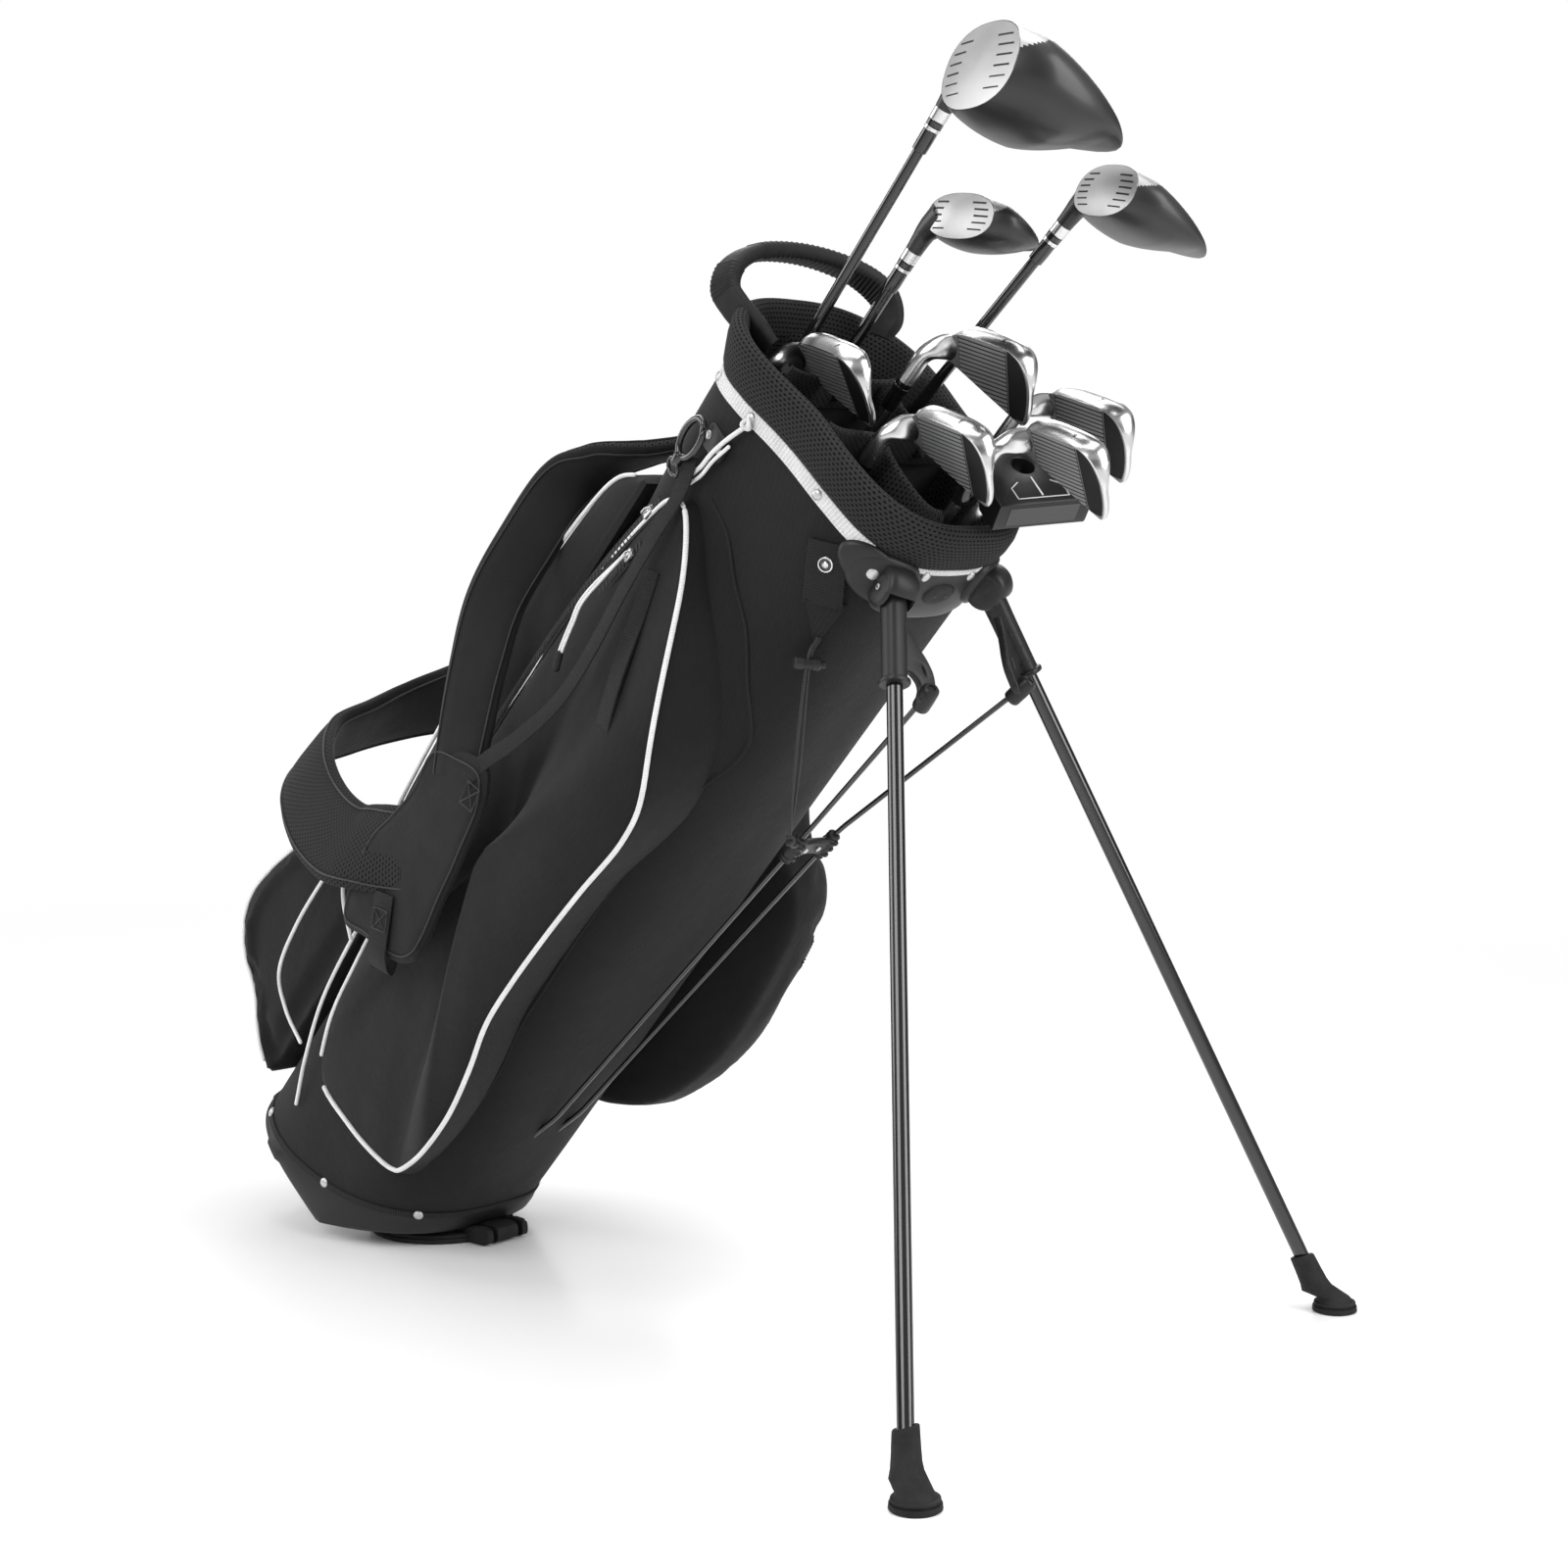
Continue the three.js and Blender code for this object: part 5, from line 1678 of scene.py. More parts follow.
def stitched_box(name, centre, along, across, out, long, wide):
    """A box of stitches with a cross inside, where webbing is sewn down."""
    shape = Shape(name, BAG, "black_cord")
    corners = [centre + along * (a * long / 2) + across * (b * wide / 2) for a,
               b in ((-1, -1), (1, -1), (1, 1), (-1, 1))]
    lines = [(corners[k], corners[(k + 1) % 4]) for k in range(4)] + [(corners[0], corners[2]),
                                                                      (corners[1], corners[3])]
    for a, b in lines:
        round_bar(shape, [a + out, a.lerp(b, 0.5) + out, b + out], 0.55, 6)
    shape.add()


def straps():
    near = [(-120, 0, 730), (-140, -8, 704), (-163, -22, 676), (-179, -44, 650), (-183, -62, 624),
            (-165, -90, 584), (-147, -110, 536),
            (-117, -125, 492), (-86, -135, 448), (-66, -139, 418)]
    shoulder_strap("shoulder_strap_a", near,
                   [(0.1, 1, 0), (0.15, 1, 0.1), (0.4, 0.9, 0.2), (0.7, 0.6, 0.3), (0.82, 0.3, 0.45),
                    (0.85, 0.1, 0.5)],
                   ("shoulder_strap_near",), 50, 15,
                   lambda t: (0.62 + 0.38 * smooth_step(0, 0.3, t), 0.7 + 0.3 * smooth_step(0, 0.2, t)))
    far = [(-70, -140, 330), (-104, -139, 300), (-136, -134, 274), (-187, -116, 254), (-240, -88, 245),
           (-280, -44, 240), (-290, 6, 248),
           (-286, 46, 268), (-268, 76, 300), (-238, 96, 350), (-206, 104, 412), (-176, 104, 470),
           (-146, 98, 520)]
    shoulder_strap("shoulder_strap_b", far,
                   [(0.55, 0, 0.85), (0.45, 0.1, 0.9), (0.3, 0.1, 1), (0.1, 0, 1), (0.05, 0, 1), (0.1, 0, 1),
                    (0.2, 0, 1), (0.5, 0, 0.8)],
                   ("shoulder_strap_far",), 74, 14, lambda t: (1 - 0.3 * smooth_step(0.55, 1.0, t), 1))
    outline = [(-98, 424), (-72, 442), (-46, 450), (-32, 432), (-22, 400), (-14, 345), (-5, 292), (-5, 268),
               (-20, 252), (-58, 240), (-84, 232), (-98, 262), (-106, 312), (-100, 345), (-94, 385)]
    flat_panel("strap_junction", outline, -141, 12, "twill_smooth")
    # the webbing that ties the pad to the bag
    low = web_strap("junction_webbing", [(-60, -149, 292), (-46, -150, 268), (-34, -149, 246),
                                         (-28, -140, 232), (-40, -126, 236)],
                    [(0.9, 0, 0.45)] * 2, 22)
    stitched_box("junction_cross", low[18], Vector((0.5, 0, -0.85)), Vector((0.85, 0, 0.5)),
                 Vector((0, -1.2, 0)), 18, 16)
    stitched_box("strap_cross", Vector((-40, -148.2, 424)), Vector((0.2, 0, -0.98)), Vector((0.98, 0, 0.2)),
                 Vector((0, -0.6, 0)), 20, 15)
    # webbing from the snap hook down the side to the pad's seam
    web_strap("hook_webbing", [(-66, -104, 752), (-52, -112, 730), (-44, -121, 690), (-36, -128, 640),
                               (-28, -133, 590), (-26, -137, 540), (-36, -141, 492),
                               (-50, -143, 452), (-52, -147, 430)],
                               [(0.95, -0.1, 0.2), (0.9, -0.3, 0.1), (0.9, -0.2, 0.1), (1, 0, 0.2)], 14)
    web_strap("towel_webbing", [(-33, -113, 668), (-20, -118, 640), (-4, -127, 606), (12, -133, 572),
                                (26, -134, 545), (34, -131, 530)],
              [(0.9, -0.3, 0.3)] * 2, 19, 2.4)


straps()

# ---------------------------------------------------------------- stand

HOOK_DROP = 77.5  # from a leg's hinge down to its hook
HOOK_REACH = 28.4  # from the leg's axis in to the hook
LEG_OUT = Vector((0.801, 0.342, -0.492))  # the far leg's direction
UP = (TO_BAG.to_3x3() @ Vector((0, 0, 1))).normalized()
FORWARD = (TO_BAG.to_3x3() @ Vector((1, 0, 0))).normalized()


def angle_of_y(y):
    """Section angle of the front wall at y."""
    s = min(1.0, abs(y) / HALF_WIDTH)
    return angle_at((1 - s**OVAL_POWER) ** (1 / OVAL_POWER) * HALF_DEPTH, y)


def node_centre(name):
    low, high = bag_box(name)
    return (low + high) / 2


class Leg:
    """Where one leg's pieces lie: z runs down the leg, x inward and y across."""

    def __init__(self, word, side):
        self.word = word
        self.side = side
        self.pivot = node_centre(f"leg_pin_{word}")
        self.way = Vector((LEG_OUT.x, side * LEG_OUT.y, LEG_OUT.z)).normalized()
        self.axis = Vector((-side * LEG_OUT.y, LEG_OUT.x, 0)).normalized()
        self.inward = self.axis * -side
        self.local = axes(self.pivot, self.inward, self.way.cross(self.inward), self.way)
        self.frame = BAG @ self.local
        self.hook = self.pivot + self.way * HOOK_DROP + self.inward * HOOK_REACH
        tip = self.local.inverted() @ node_centre(f"leg_foot_{word}")
        self.length = tip.z + 12
        self.body = f"{word}_leg"


LEGS = [Leg(word, side) for word, side in SIDE_WORDS]


def plate_object(name, outline, holes, thick, bevel, matrix, material, body):
    """A flat moulding with rounded edges and clean holes, cut from an outline in its local x and z."""
    curve = bpy.data.curves.new(name, "CURVE")
    curve.dimensions = "2D"
    curve.fill_mode = "BOTH"
    curve.extrude = thick / 2 - bevel
    curve.bevel_depth = bevel
    curve.bevel_resolution = 3
    for loop in [outline] + holes:
        spline = curve.splines.new("POLY")
        spline.points.add(len(loop) - 1)
        for point, (x, y) in zip(spline.points, loop):
            point.co = (x, y, 0, 1)
        spline.use_cyclic_u = True
    mesh = frozen(name + "_outline", curve)
    mesh.transform(matrix)
    mesh.materials.clear()
    mesh.materials.append(MAT[material])
    clean(mesh, 35)
    place_object(name, mesh, body)


def leg_sleeve(leg):
    shape = Shape(f"sleeve_{leg.word}", leg.frame, "plastic", "dark_paint_and_shade")
    # squarish barrel with a flared lower flange
    profile = ((-9.2, 3.0), (-8.8, 6.0), (-6.5, 8.3), (-2, 9.3), (6, 9.4), (30, 9.0), (66, 8.9), (69.6, 9.0),
               (70.2, 10.8), (71, 11.2), (73, 11.2), (74, 10.7), (74, 6.3))
    rings = []
    for z, radius in profile:
        ring = []
        for i in range(56):
            a = 2 * math.pi * i / 56
            c, s = math.cos(a), math.sin(a)
            ring.append(Vector((radius * math.copysign(abs(c) ** 0.82, c),
                                radius * math.copysign(abs(s) ** 0.82, s), z)))
        rings.append(ring)
    shape.loft(rings)
    # the row of moulded holes on the outward-facing corner; their shallow dips are painted darker as the
    # shade inside the holes
    front = 1 if leg.side > 0 else -1
    for k in range(5):
        z = 13 + 12.2 * k
        way = Vector((math.cos(math.radians(40)), -front * math.sin(math.radians(40)), 0))
        seat = aimed(way * 8.95 + Vector((0, 0, z)), way)
        shape.lathe([(2.9, -0.6), (2.9, 0.35), (2.3, 0.55), (1.95, 0.2), (1.9, 0.02), (0.05, 0.02)], seat,
                    20, 0,
                    lambda r, i: 1 if r >= 2 else 0)
    shape.add(leg.body, (f"leg_sleeve_{leg.word}",), "plastic")
    # the curved arm: x along `inward`, y down the leg
    outer = [(5, 21), (12, 31), (20, 41), (27, 49), (32.5, 58), (34.5, 68), (34.5, 77)]
    inner = [(23, 80), (23.5, 72), (21.5, 66), (15, 60.5), (5, 57)]
    outline = flat_loop(outer + inner, 96)
    hole = [(25.3 + 2.3 * math.cos(a) + 2.4 * math.sin(a), 57.5 + 5.6 * math.sin(a)) for a in
            [2 * math.pi * i / 24 for i in range(24)]]
    turn = leg.frame @ Matrix(((1, 0, 0, 0), (0, 0, -1, 0), (0, 1, 0, 0), (0, 0, 0, 1)))
    plate_object(f"sleeve_arm_{leg.word}", outline, [hole], 6.4, 1.6, turn, "plastic", leg.body)
    # the round clamp that grips the wire's end; the socket at its end is painted darker as shade
    wire_way = wire_ends(leg.side)[0] - wire_ends(leg.side)[1]
    clamp = Shape(f"wire_clamp_{leg.word}", BAG, "plastic", "dark_paint_and_shade")
    half = 11.5
    profile = [(0.05, -half), (4.6, -half), (6.3, -half + 1.4), (6.7, -half + 3), (6.9, 0), (6.7, half - 3),
               (6.3, half - 1.4), (5.0, half), (3.0, half), (2.9, half - 1.2), (0.05, half - 1.2)]
    clamp.lathe(profile, aimed(leg.hook, wire_way), 40, 0, lambda r, i: 1 if r >= len(profile) - 3 else 0)
    clamp.add(leg.body)


def leg_tube(leg):
    shape = Shape(f"tube_{leg.word}", leg.frame, "tube")
    low = leg.length - 14
    profile = [(5.2, 18.4), (5.9, 18.8), (6.0, 20)] + [(6.0, 20 + (low - 20) * k / 24)
                                                       for k in range(1, 25)] + [(5.4, low + 0.4)]
    shape.lathe(profile, sides=40)
    shape.add(leg.body, (f"leg_tube_{leg.word}",), "tubing")


def leg_foot(leg):
    """Rubber boot: a socket on the tube flowing into a layered duck-bill pad, flat on the ground."""
    shape = Shape(f"foot_{leg.word}", BAG, "rubber")
    ground = min(p.dot(UP) for p in node_points(f"leg_foot_{leg.word}", TO_BAG))
    socket = leg.pivot + leg.way * (leg.length - 46)
    drop = (socket.dot(UP) - ground) / -leg.way.dot(UP)
    tip = socket + leg.way * drop
    middle = tip + FORWARD * 7
    side = UP.cross(FORWARD)
    across = leg.way.cross(side).normalized()
    rings = []

    def leg_ring(down, radius):
        centre = socket + leg.way * down
        return [centre + side * (radius * math.cos(a)) + across * (radius * math.sin(a)) for a in turns(64)]

    def pad_ring(height, along, wide, shift=0.0, power=2.0):
        centre = middle + UP * height + FORWARD * shift
        out = []
        for a in turns(64):
            c, s = math.cos(a), math.sin(a)
            out.append(centre + side * (wide * math.copysign(abs(c) ** (2 / power), c))
                       - FORWARD * (along * math.copysign(abs(s) ** (2 / power), s)))
        return out
    if across.dot(FORWARD) > 0:
        across = -across
    for down, radius in ((0, 6.3), (0, 8.8), (0.8, 9.5), (3, 9.7), (14, 10.2), (24, 10.9), (30, 12.2)):
        rings.append(leg_ring(down, radius))
    pads = ((11, 12.6, 13.6, -1), (8, 14.4, 15.2, 0), (7.6, 16.2, 16.9, 0), (6.2, 16.5, 17.2, 0),
            (5.8, 15.2, 15.9, 0), (4.6, 15.5, 16.2, 0),
            (4.2, 17.4, 17.9, 0), (0.9, 17.7, 18.2, 0), (0.2, 17.2, 17.7, 0))
    rings += [pad_ring(*pad) for pad in pads]
    shape.loft(rings)
    shape.add(leg.body, (f"leg_foot_{leg.word}",), "rubber", 30)


def wire_ends(side):
    """One arm of the bent wire, from its tip at the hook down to its hinge on the plate."""
    return [Vector((160.3, side * 38.7, 632)), Vector((156.3, side * 21, 562)),
            Vector((119.5, side * 15, 181)), Vector((77.5, side * 15, 11.3))]


def stand_wire():
    corners = []
    for side in (-1, 1):
        arm = wire_ends(side)
        reach = (LEGS[0 if side < 0 else 1].hook - arm[0])
        arm[0] = arm[0] + reach.normalized() * max(0.0, reach.length - 12.5)
        corners += arm if side < 0 else list(reversed(arm))
    shape = Shape("bent_wire", BAG, "tube")
    # tight bends at the plate keep the arms clear of its lug as the wire turns
    bends = [9, 9, 2.8, 2.8, 9, 9]
    round_bar(shape, rounded_path(corners, bends, 7), 2.1, 18)
    shape.add("stand_wire", ("stand_wire",), "tubing")


def wire_clip():
    centre = node_centre("wire_clip")
    along = (wire_ends(-1)[1] - wire_ends(-1)[2])
    along.y = 0
    along.normalize()
    out = along.cross(Vector((0, 1, 0))).normalized()
    shape = Shape("rod_clip", BAG @ axes(centre, Vector((0, 1, 0)), out, along), "plastic", "satin")
    apart = 20.2
    for side in (-1, 1):
        seat = Matrix.Translation((side * apart, 0, 0))
        profile = [(0.05, -13), (4.4, -13), (5.4, -12)]
        for k in range(7):
            z = -10.5 + 3.5 * k
            profile += [(5.4, z - 0.9), (4.7, z - 0.5), (4.7, z + 0.5),
                        (5.4, z + 0.9)] if abs(k - 3) > 1 else [(5.9, z)]
        profile += [(5.4, 12), (4.4, 13), (0.05, 13)]
        shape.lathe(profile, seat, 32)
        # sprung teeth standing on the outside
        for z in (-6, 1, 8):
            shape.loft([[Vector((side * apart + x, -4.6 - h, z + k)) for x,
                         k in ((-1.8 * s, -2 * s), (1.8 * s, -2 * s), (1.8 * s, 2 * s),
                        (-1.8 * s, 2 * s))] for h, s in ((0, 1), (2.4, 0.8), (3, 0.5))])
    path = [Vector((x, 0.8 * math.cos(x / 6.5), 0)) for x in range(-20, 21, 2)]
    sweep(shape, path, rounded_bar(19, 6.4, 2.6, 4), (0, 1, 0),
          scale=lambda t: (1 - 0.25 * math.sin(math.pi * t), 1))
    rivet(shape, Vector((-8, -3.6, 0)), Vector((0, -1, 0)), 2.4, 1.0, 1)
    rivet(shape, Vector((8, -3.6, 0)), Vector((0, -1, 0)), 2.4, 1.0, 1)
    shape.add("stand_wire", ("wire_clip",), "plastic", 30)


def patch(shape, y, z, half_y, half_z, height, power=2.4, lean=0.0, slot=0, base=-0.6):
    """A rounded pad moulded on the front wall."""
    rings = []
    for s, rise in ((1.0, base / max(height, 0.1)), (1.0, 0.12), (0.985, 0.4), (0.94, 0.72), (0.86, 0.88),
                    (0.72, 0.96), (0.5, 1.0), (0.25, 1.0), (0.02, 1.0)):
        ring = []
        for a in turns(72):
            u = half_y * s * power_of(math.cos(a), 2 / power)
            v = half_z * s * power_of(math.sin(a), 2 / power)
            at = y + u
            ring.append(on_body(angle_of_y(max(-93.5, min(93.5, at))), z + v + lean * u, height * rise))
        rings.append(ring)
    shape.loft(rings, slot)


def leg_hood(shape, leg):
    """Hood over a leg's hinge: two round cheeks joined by a thick arched shell."""
    axis = leg.axis
    centre = leg.pivot
    back = Vector((-1, 0, 0)) - axis * Vector((-1, 0, 0)).dot(axis)
    back.normalize()
    top = Vector((0, 0, 1))
    place = axes(centre, back, top, axis)
    for way in (-1, 1):
        profile = [(0.05, 10.1), (12.4, 10.1), (13.4, 10.6), (14.4, 11.6), (13.8, 12.9), (11, 13.8),
                   (6, 14.2), (0.05, 14.3)]
        shape.lathe([(r, way * z) for r, z in (profile if way > 0 else profile[::-1])], place, 48)
    open_way = leg.way
    start = math.atan2(open_way.dot(top), open_way.dot(back))
    first = start - math.radians(52)
    last = math.radians(-28)
    section = [(-13.8, 11.2), (-13.8, 13.4), (-12, 15.8), (-8, 17.2), (0, 17.8), (8, 17.2), (12, 15.8),
               (13.8, 13.4), (13.8, 11.2),
               (10, 10.9), (0, 10.9), (-10, 10.9)]
    # run from just above the open leg, over the top, down to the wall
    first = first % (2 * math.pi)
    rings = []
    steps = 34
    for k in range(steps + 1):
        t = k / steps
        a = first + (last - first) * t
        swell = 1 + 0.1 * math.sin(math.pi * t)
        ring = []
        for w, r in section:
            radius = r * swell if r > 11 else r
            ring.append(place @ Vector((radius * math.cos(a), radius * math.sin(a), w)))
        rings.append(ring)
    shape.loft(rings)


def yoke():
    shape = Shape("yoke_moulding", BAG, "plastic", "satin", "dark_paint_and_shade")
    # band across the front wall
    rings = []
    for k in range(41):
        y = -74 + 148 * k / 40
        share = abs(y) / 74
        top = 800 - 5 * (1 - share**2)
        low = 759 - 8 * (1 - share**2) + 14 * smooth_step(0.7, 1.0, share)
        ring = []
        for v, g in ((0.0, -0.5), (0.0, 2.2), (0.06, 3.4), (0.3, 4.2), (0.7, 4.2), (0.94, 3.4), (1.0, 2.2),
                     (1.0, -0.5)):
            ring.append(on_body(angle_of_y(y), low + (top - low) * v, g))
        rings.append(ring)
    shape.loft(rings)
    for leg in LEGS:
        side = leg.side
        patch(shape, side * 57, 782, 24, 21, 9, 2.6, slot=0)
        patch(shape, side * 69, 785, 17, 18, 7.5, 2.2, side * 0.2)
        leg_hood(shape, leg)
        # rivet on the outer lobe, screw in the hood; the screw's recess and the dark bar over its head for
        # the slot are painted shade
        angle = angle_of_x(97, side)
        rivet(shape, on_body(angle, 785, 7.2), oval_normal(angle), 5.6, 2.4, 1)
        out = leg.axis * side
        seat = aimed(leg.pivot + out * 14.0, out)
        shape.lathe([(4.6, -1), (4.6, 0.5), (4.0, 1.0), (3.2, 0.9), (3.0, 0.3), (0.05, 0.3)], seat, 28, 0,
                    lambda r, i: 2 if r >= 3 else 0)
        shape.lathe([(2.4, 0.0), (2.4, 0.5), (1.9, 0.8), (1.1, 0.75), (0.9, 0.45), (0.05, 0.45)], seat, 20, 1)
        shape.loft([[seat @ Vector((x * 2.2, y * 0.32, z)) for x, y in ((-1, -1), (1, -1), (1, 1), (-1, 1))]
                    for z in (0.6, 0.95)], 2)
    shape.add("bag", ("leg_yoke",), "plastic", 50)
    badge = Shape("yoke_badge_plate", BAG, "handle", "dark_paint_and_shade")
    patch(badge, 0, 776, 19, 10.5, 6.4, 2.0, 0.0, 0, 2.0)
    for y in (-6.5, 6.5):
        seat = aimed(on_body(angle_of_y(y), 776, 6.3), oval_normal(angle_of_y(y)))
        badge.lathe([(1.7, -0.2), (1.7, 0.3), (1.3, 0.4), (0.05, 0.3)], seat, 18, 1)
    badge.add("bag", ("yoke_badge",), "plastic")


def foot_plate():
    shape = Shape("swivel_plate", GROUND, "rubber", "plastic")
    rim = [(0.05, 0.3), (56, 0.3), (58, 0.0), (62.4, 0.3), (64, 2.2), (64, 4.4), (62.6, 4.9), (62.6, 5.8),
           (63.6, 6.3), (63.4, 7.8), (61.6, 8.7), (58.6, 8.6), (57.6, 7.6), (54, 7.3), (20, 7.4), (0.05, 7.4)]
    shape.lathe(rim, sides=128)
    for y0, y1 in ((-24, -17.8), (-12.2, 12.2), (17.8, 24)):
        rings = []
        for x, z0, z1 in ((42, 3, 9), (50, 1.5, 11), (60, 1.2, 15), (72, 1.0, 16.6), (80, 1.4, 16.2),
                          (83.6, 3, 14), (84.4, 6, 10)):
            rings.append([Vector((x, y0, z0)), Vector((x, y1, z0)), Vector((x, y1, z1 - 1)),
                          Vector((x, y1 - 1, z1)), Vector((x, y0 + 1, z1)),
                          Vector((x, y0, z1 - 1))])
        shape.loft(rings, 0)
    low = Vector(JOINTS["foot_plate_hinge"].get("pos", (0.014, 0, 0.019))) / MM
    for side in (-1, 1):
        y0 = 14 if side > 0 else -22.5
        seat = Matrix.Translation((low.x, y0, low.z)) @ Matrix.Rotation(-math.pi / 2, 4, "X")
        shape.lathe([(2.8, 0), (5.4, 0), (6, 0.8), (6, 7.7), (5.4, 8.5), (2.8, 8.5)], seat, 32, 1)
        shape.box((low.x - 6, y0, 8), (low.x + 6, y0 + 8.5, low.z - 2.9), slot=1)
    shape.add("foot_plate", ("foot_plate",), "rubber", 35)


for one in LEGS:
    leg_sleeve(one)
    leg_tube(one)
    leg_foot(one)
stand_wire()
wire_clip()
yoke()
foot_plate()
for bare in ("foot_hinge_pin", "leg_pin_near", "leg_pin_far"):
    for place_in in NODES[bare].material_slots:
        place_in.material = MAT["steel"]

# ---------------------------------------------------------------- cords, hooks, snaps and zips


def near_zip():
    """The side pocket's zip, sliders and pull loops along its back seam."""
    path = [wall_place(x, z, -1, g) for x, z,
            g in ((-66, 704, 9), (-75, 660, 11), (-83, 610, 13), (-88, 560, 14), (-91, 500, 14),
                  (-92, 440, 14), (-91, 380, 14))]
    path = curve_points(path, 60)
    zip_band("near_pocket_zip", path, [(-0.5, -1, 0)] * 61, 14, 0.06)
    seat = zip_band("near_pocket_zip_lower", [p + Vector((17, -7, 0)) for p in path[8:40]],
                    [(-0.4, -1, 0)] * 32, 12, 0.1)
    cord_pull("near_zip_pull", seat, [(-66, -124, 612), (-58, -131, 592), (-52, -133, 570), (-46, -134, 556)])


def snap_hook():
    """Sprung hook on a riveted plate, near the back of the mouth."""
    angle = angle_of_x(-56, -1)
    out = oval_normal(angle)
    seat_at = on_body(angle, 773, 1.5)
    along = Vector((-out.y, out.x, 0)).normalized()
    seat = axes(seat_at, along, Vector((0, 0, 1)), out)
    plate = Shape("hook_plate", BAG, "plastic", "satin")
    plate.loft([[seat @ Vector((x * s, y * s, z)) for x, y in rounded_bar(30, 20, 5, 5)] for z,
                s in ((-1, 1), (1.6, 1), (2.4, 0.94), (2.6, 0.5), (2.6, 0.05))])
    for x in (-9, 9):
        rivet(plate, seat @ Vector((x, 0, 2.4)), out, 3.6, 1.8, 1)
    plate.add()
    hook = Shape("snap_hook", BAG, "black_gloss", "zinc")
    centre = on_body(angle, 766, 10) + Vector((-14, 0, -2))
    turn = axes(centre, along, out.cross(along), out)
    loop = [turn @ Vector((11 * math.cos(a), 17 * math.sin(a), 0))
            for a in [math.radians(k) for k in range(70, 410, 10)]]
    round_bar(hook, loop, 2.7, 14)
    round_bar(hook, [turn @ Vector((3, 16, 0)), turn @ Vector((9, 8, 0)), turn @ Vector((10.5, -2, 0))], 2.0,
              12)
    hook.lathe([(0.05, -5), (4.2, -5), (5, -3), (5, 3), (4.2, 5), (0.05, 5)],
               turn @ Matrix.Translation((0, -20, 0)) @ Matrix.Rotation(math.pi / 2, 4, "X"), 28)
    ring = [turn @ Vector((8 * math.cos(a), -28 + 6 * math.sin(a), 2 * math.sin(a)))
            for a in [2 * math.pi * k / 30 for k in range(30)]]
    sweep(hook, ring, circle(1.5, 10), [out] * 30, slot=0, closed=True)
    hook.add()


def white_ties():
    """Braided white cords from the tape down to the hook and the zips."""
    tie = [wall_place(x, z, -1, g) for x, z,
           g in ((-38, 806, 5), (-44, 786, 8), (-49, 768, 8), (-52, 752, 7), (-56, 740, 8))]
    shape = Shape("tape_tie", BAG, "white_cord")
    round_bar(shape, curve_points(tie, 40), 1.9, 12)
    round_bar(shape, curve_points([p + Vector((5, -0.6, -3)) for p in tie[1:]], 30), 1.5, 12)
    for spot in (tie[0], tie[-1]):
        knot = [spot + Vector((3.4 * math.cos(a), -2 - 1.6 * math.sin(2 * a), 3.4 * math.sin(a)))
                for a in [2 * math.pi * k / 24 for k in range(24)]]
        sweep(shape, knot, circle(1.7, 10), [(0, -1, 0.1)] * 24, closed=True)
    shape.add()
    low = Shape("lower_ties", BAG, "white_cord")
    runs = [((-168, -86, 200), (-163, -92, 140), (-150, -96, 92), (-124, -93, 68), (-90, -95, 62)),
            ((-160, -88, 224), (-128, -100, 206), (-98, -103, 190)),
            ((-112, -88, 268), (-104, -93, 190), (-92, -99, 120), (-76, -97, 60), (-58, -96, 16))]
    for run in runs:
        round_bar(low, curve_points([Vector(p) for p in run], 60), 1.7, 12)
    low.add()


def snap_tab():
    """Webbing tab with a ring snap and a triangular keeper, on the near front edge."""
    def at(x, z, grow):
        return wall_place(x, z, -1, grow)
    tab = Shape("snap_tab", BAG, "webbing", "chrome", "black_gloss")
    path = [at(67, 784, 2.0), at(71, 775, 2.6), at(76, 764, 2.8), at(81, 752, 2.6), at(86, 740, 2.2)]
    path = curve_points(path, 24)
    side = Vector((0.8, 0.35, 0.5))
    band(tab, path, wide_ways(path, [side] * 2), rounded_bar(31, 2.0, 0.8, 3))
    spot = path[9]
    out = oval_normal(angle_of_x(73, -1))
    seat = aimed(spot + out * 1.0, out)
    tab.lathe([(6.3, -0.4), (6.3, 0.8), (5.7, 1.6), (4.9, 1.7), (4.5, 1.0), (4.4, 0.5), (2.6, 0.5),
               (2.4, 1.4), (1.8, 1.7), (1.4, 1.0), (0.05, 0.9)], seat, 40, 1,
              lambda r, i: 2 if 4 <= r <= 6 else 1)
    tab.add()
    tri = Shape("tab_keeper", BAG, "webbing")
    corners = [at(75, 736, 2.2), at(97, 750, 2.4), at(95, 708, 2.0)]
    rings = [[c + out * h for c in corners] for h in (-0.6, 0.9)]
    tri.loft(rings)
    tri.add()


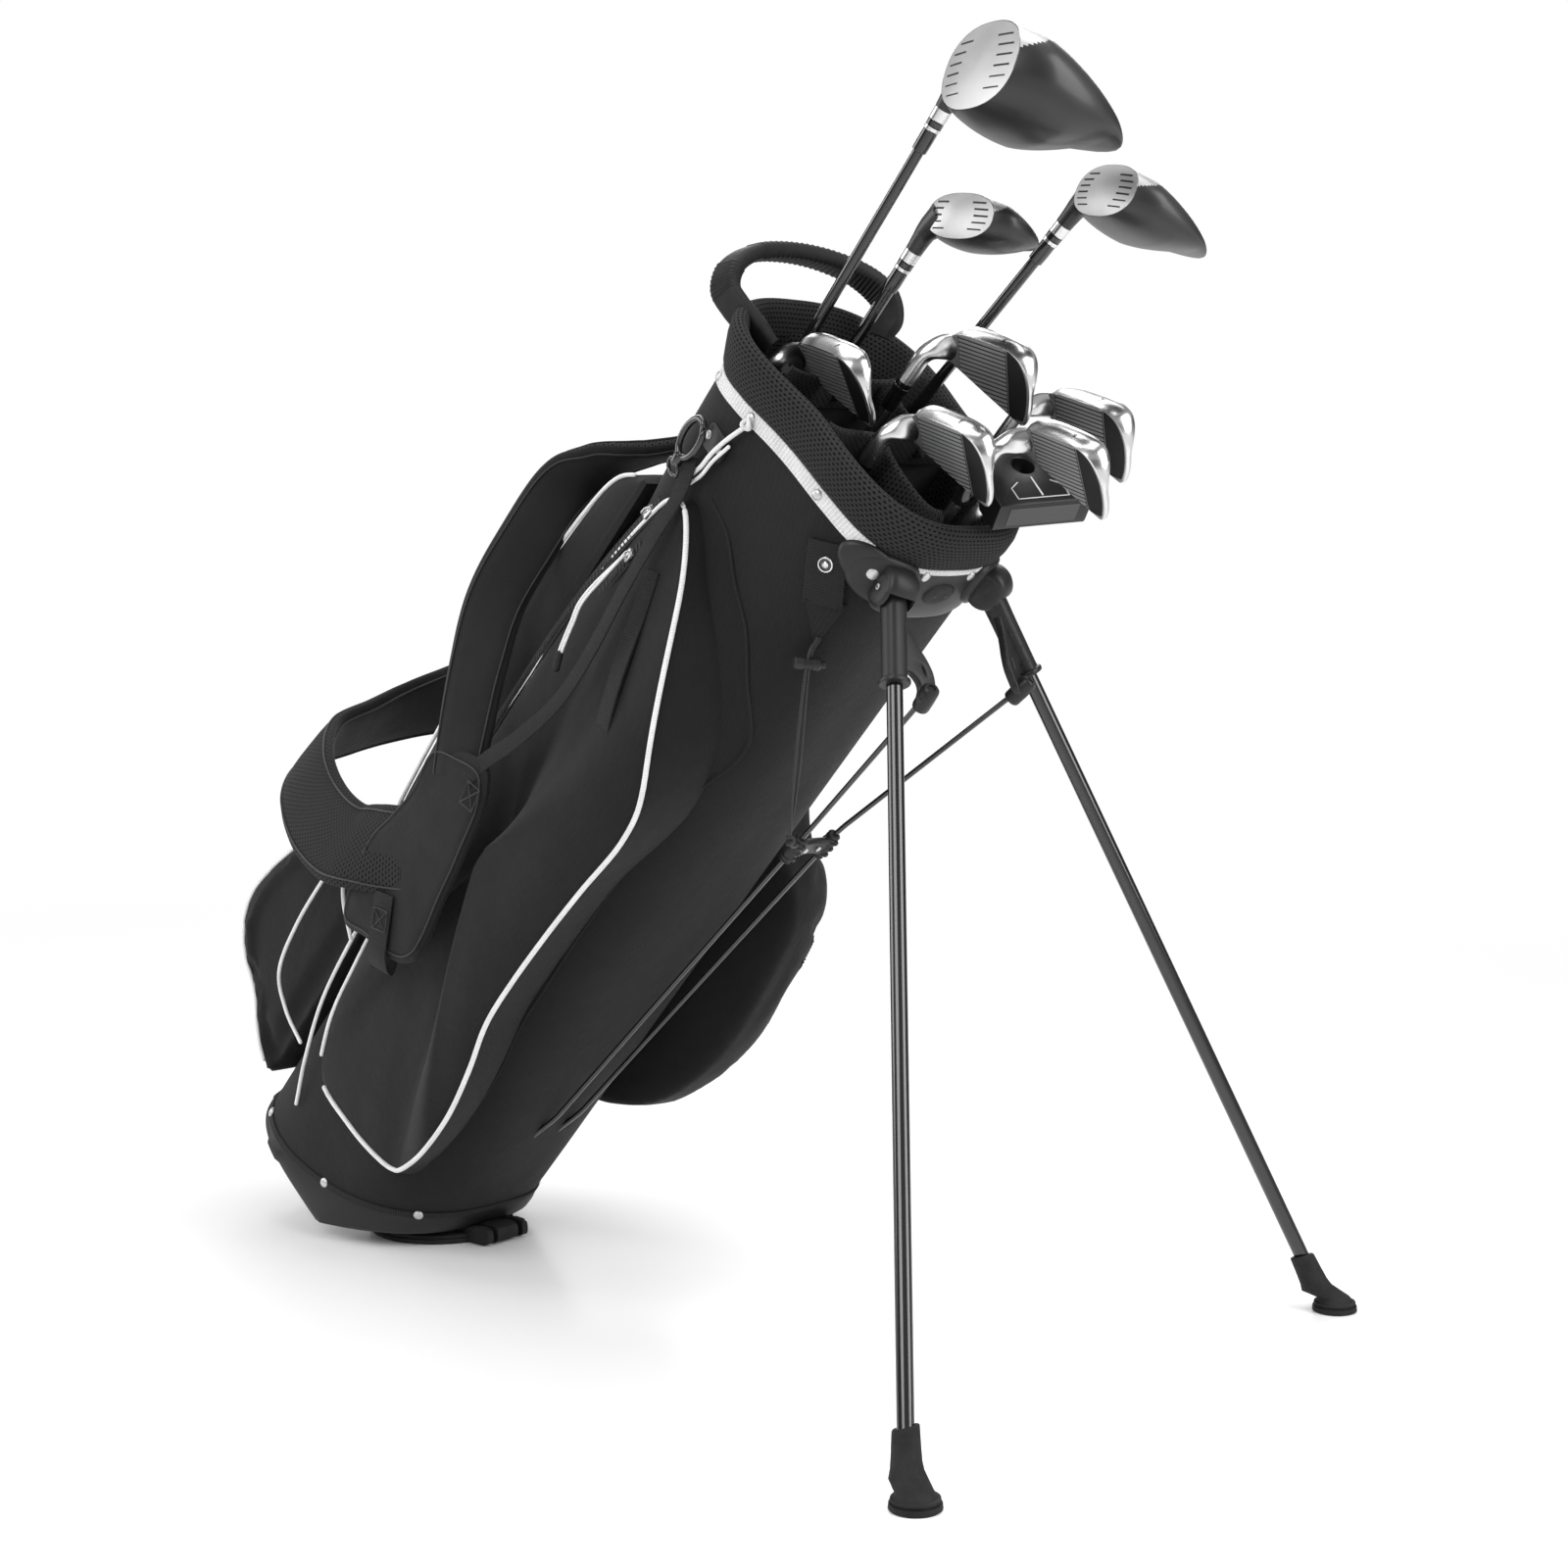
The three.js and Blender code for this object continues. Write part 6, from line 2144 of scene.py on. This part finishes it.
def toggle_cord():
    cord_piece = Shape("toggle_cord", BAG, "black_cord")
    start = on_body(angle_of_x(94, -1), 716, 3)
    through = Vector((104, -79, 698))
    knot = Vector((160, -44, 563))
    end = node_centre("wire_clip") + Vector((2, -22, 8))
    for offset in (-1.6, 1.6):
        side = Vector((0.4, offset, 0))
        path = curve_points([start + side, through + side,
                             through.lerp(knot, 0.5) + side * 1.8 + Vector((2, 0, -4)), knot], 60)
        round_bar(cord_piece, path, 1.1, 10)
    path = curve_points([knot, knot.lerp(end, 0.4) + Vector((4, -6, 0)),
                         knot.lerp(end, 0.8) + Vector((3, -4, 0)), end], 50)
    round_bar(cord_piece, path, 1.2, 10)
    ball = [knot + Vector((2.8 * math.cos(a), 1.5 * math.sin(2 * a), 3.2 * math.sin(a)))
            for a in [2 * math.pi * k / 24 for k in range(24)]]
    sweep(cord_piece, ball, circle(1.6, 10), [(1, 0.2, 0)] * 24, closed=True)
    cord_piece.add()
    lock = Shape("cord_toggle", BAG, "plastic")
    way = Vector((0.5, 0.75, 0.3)).normalized()
    profile = [(0.05, -11), (4.0, -11), (5.0, -10), (5.0, -4), (4.4, -3.4), (4.4, 3.4), (5.0, 4), (5.0, 8.5),
               (4.0, 9.5), (2.8, 9.6), (2.8, 12.6), (2.2, 13.4), (0.05, 13.5)]
    lock.lathe(profile, aimed(through, way), 32)
    lock.add()


near_zip()
snap_hook()
white_ties()
snap_tab()
toggle_cord()

# ---------------------------------------------------------------- floor, light, camera


def floor():
    mesh = bpy.data.meshes.new("studio_floor")
    reach = 9.0
    mesh.from_pydata([(-reach, -reach, 0), (reach, -reach, 0), (reach, reach, 0), (-reach, reach, 0)], [],
                     [(0, 1, 2, 3)])
    n = Nodes("studio_white")
    coords = n.object_coords()
    soft = n.noise(coords, 2.0)
    n.set(Base_Color=n.ramp(soft, (0.0, 0.86), (1.0, 0.9)), Roughness=0.3, Specular_IOR_Level=0.3)
    # far from the set the floor fades into the white surroundings
    distance = n.add("VectorMath", operation="LENGTH")
    n.put(distance.inputs[0], coords)
    fade = n.add("MapRange", interpolation_type="SMOOTHSTEP")
    n.put(fade.inputs[0], distance.outputs["Value"])
    fade.inputs[1].default_value = 0.9
    fade.inputs[2].default_value = 2.4
    glow = n.add("Emission", Strength=1.0)
    mix = n.add("MixShader")
    n.put(mix.inputs[0], fade.outputs[0])
    n.put(mix.inputs[1], n.shader.outputs[0])
    n.put(mix.inputs[2], glow.outputs[0])
    n.put(n.tree.nodes["Material Output"].inputs["Surface"], mix.outputs[0])
    mesh.materials.append(n.material)
    linked("studio_floor", mesh)


def area_light(name, place, target, size, power, height=None):
    data = bpy.data.lights.new(name, "AREA")
    data.shape = "RECTANGLE"
    data.size = size
    data.size_y = height or size
    data.energy = power
    lamp = linked(name, data)
    lamp.location = place
    lamp.rotation_euler = (Vector(target) - Vector(place)).to_track_quat("-Z", "Y").to_euler()


def studio():
    floor()
    middle = (0.35, 0.0, 0.5)
    area_light("key_softbox", (0.6, -3.0, 2.6), middle, 2.2, 70)
    area_light("fill_left", (-2.8, -1.6, 1.6), middle, 2.0, 45)
    area_light("side_right", (3.0, 0.6, 1.8), middle, 1.6, 60, 2.4)
    area_light("top_softbox", (0.3, 0.2, 3.4), middle, 2.4, 60)
    area_light("back_strip", (-1.4, 2.6, 2.2), middle, 2.2, 50)
    world = bpy.data.worlds.new("studio")
    world.use_nodes = True
    tree = world.node_tree
    back = tree.nodes["Background"]
    # white to the camera, a dim light, and a studio of dark and bright bands in mirrors
    n = Nodes("sky", tree)
    path = n.add("LightPath")
    split = n.add("SeparateXYZ")
    n.put(split.inputs[0], n.add("TexCoord").outputs["Generated"])
    bands = n.ramp(split.outputs[2], (0.0, 0.55), (0.12, 0.22), (0.3, 0.16), (0.42, 0.6), (0.6, 0.8),
                   (0.85, 0.3))
    turn = n.maths("ARCTAN2", split.outputs[1], split.outputs[0])
    flags = n.range(n.maths("SINE", n.times(turn, 3.0)), 0.55, 1.0)
    mirror = n.times(bands, flags)
    light = n.plus(n.times(path.outputs["Is Glossy Ray"], mirror),
                    n.times(path.outputs["Is Diffuse Ray"], 0.42))
    n.put(back.inputs["Strength"], n.plus(light, path.outputs["Is Camera Ray"]))
    back.inputs["Color"].default_value = (1, 1, 1, 1)
    bpy.context.scene.world = world


def camera():
    azimuth, elevation = math.radians(39.62), math.radians(5.58)
    data = bpy.data.cameras.new("photo_camera")
    data.sensor_width = 36.0
    data.lens = 60.9
    data.clip_end = 60
    eye = linked("photo_camera", data)
    eye.location = (1.7235, -1.6007, 0.6267)
    way = Vector((-math.sin(azimuth) * math.cos(elevation), math.cos(azimuth) * math.cos(elevation),
                  -math.sin(elevation)))
    eye.rotation_euler = way.to_track_quat("-Z", "Y").to_euler()
    bpy.context.scene.camera = eye


studio()
camera()
scene = bpy.context.scene
scene.view_settings.view_transform = "Standard"
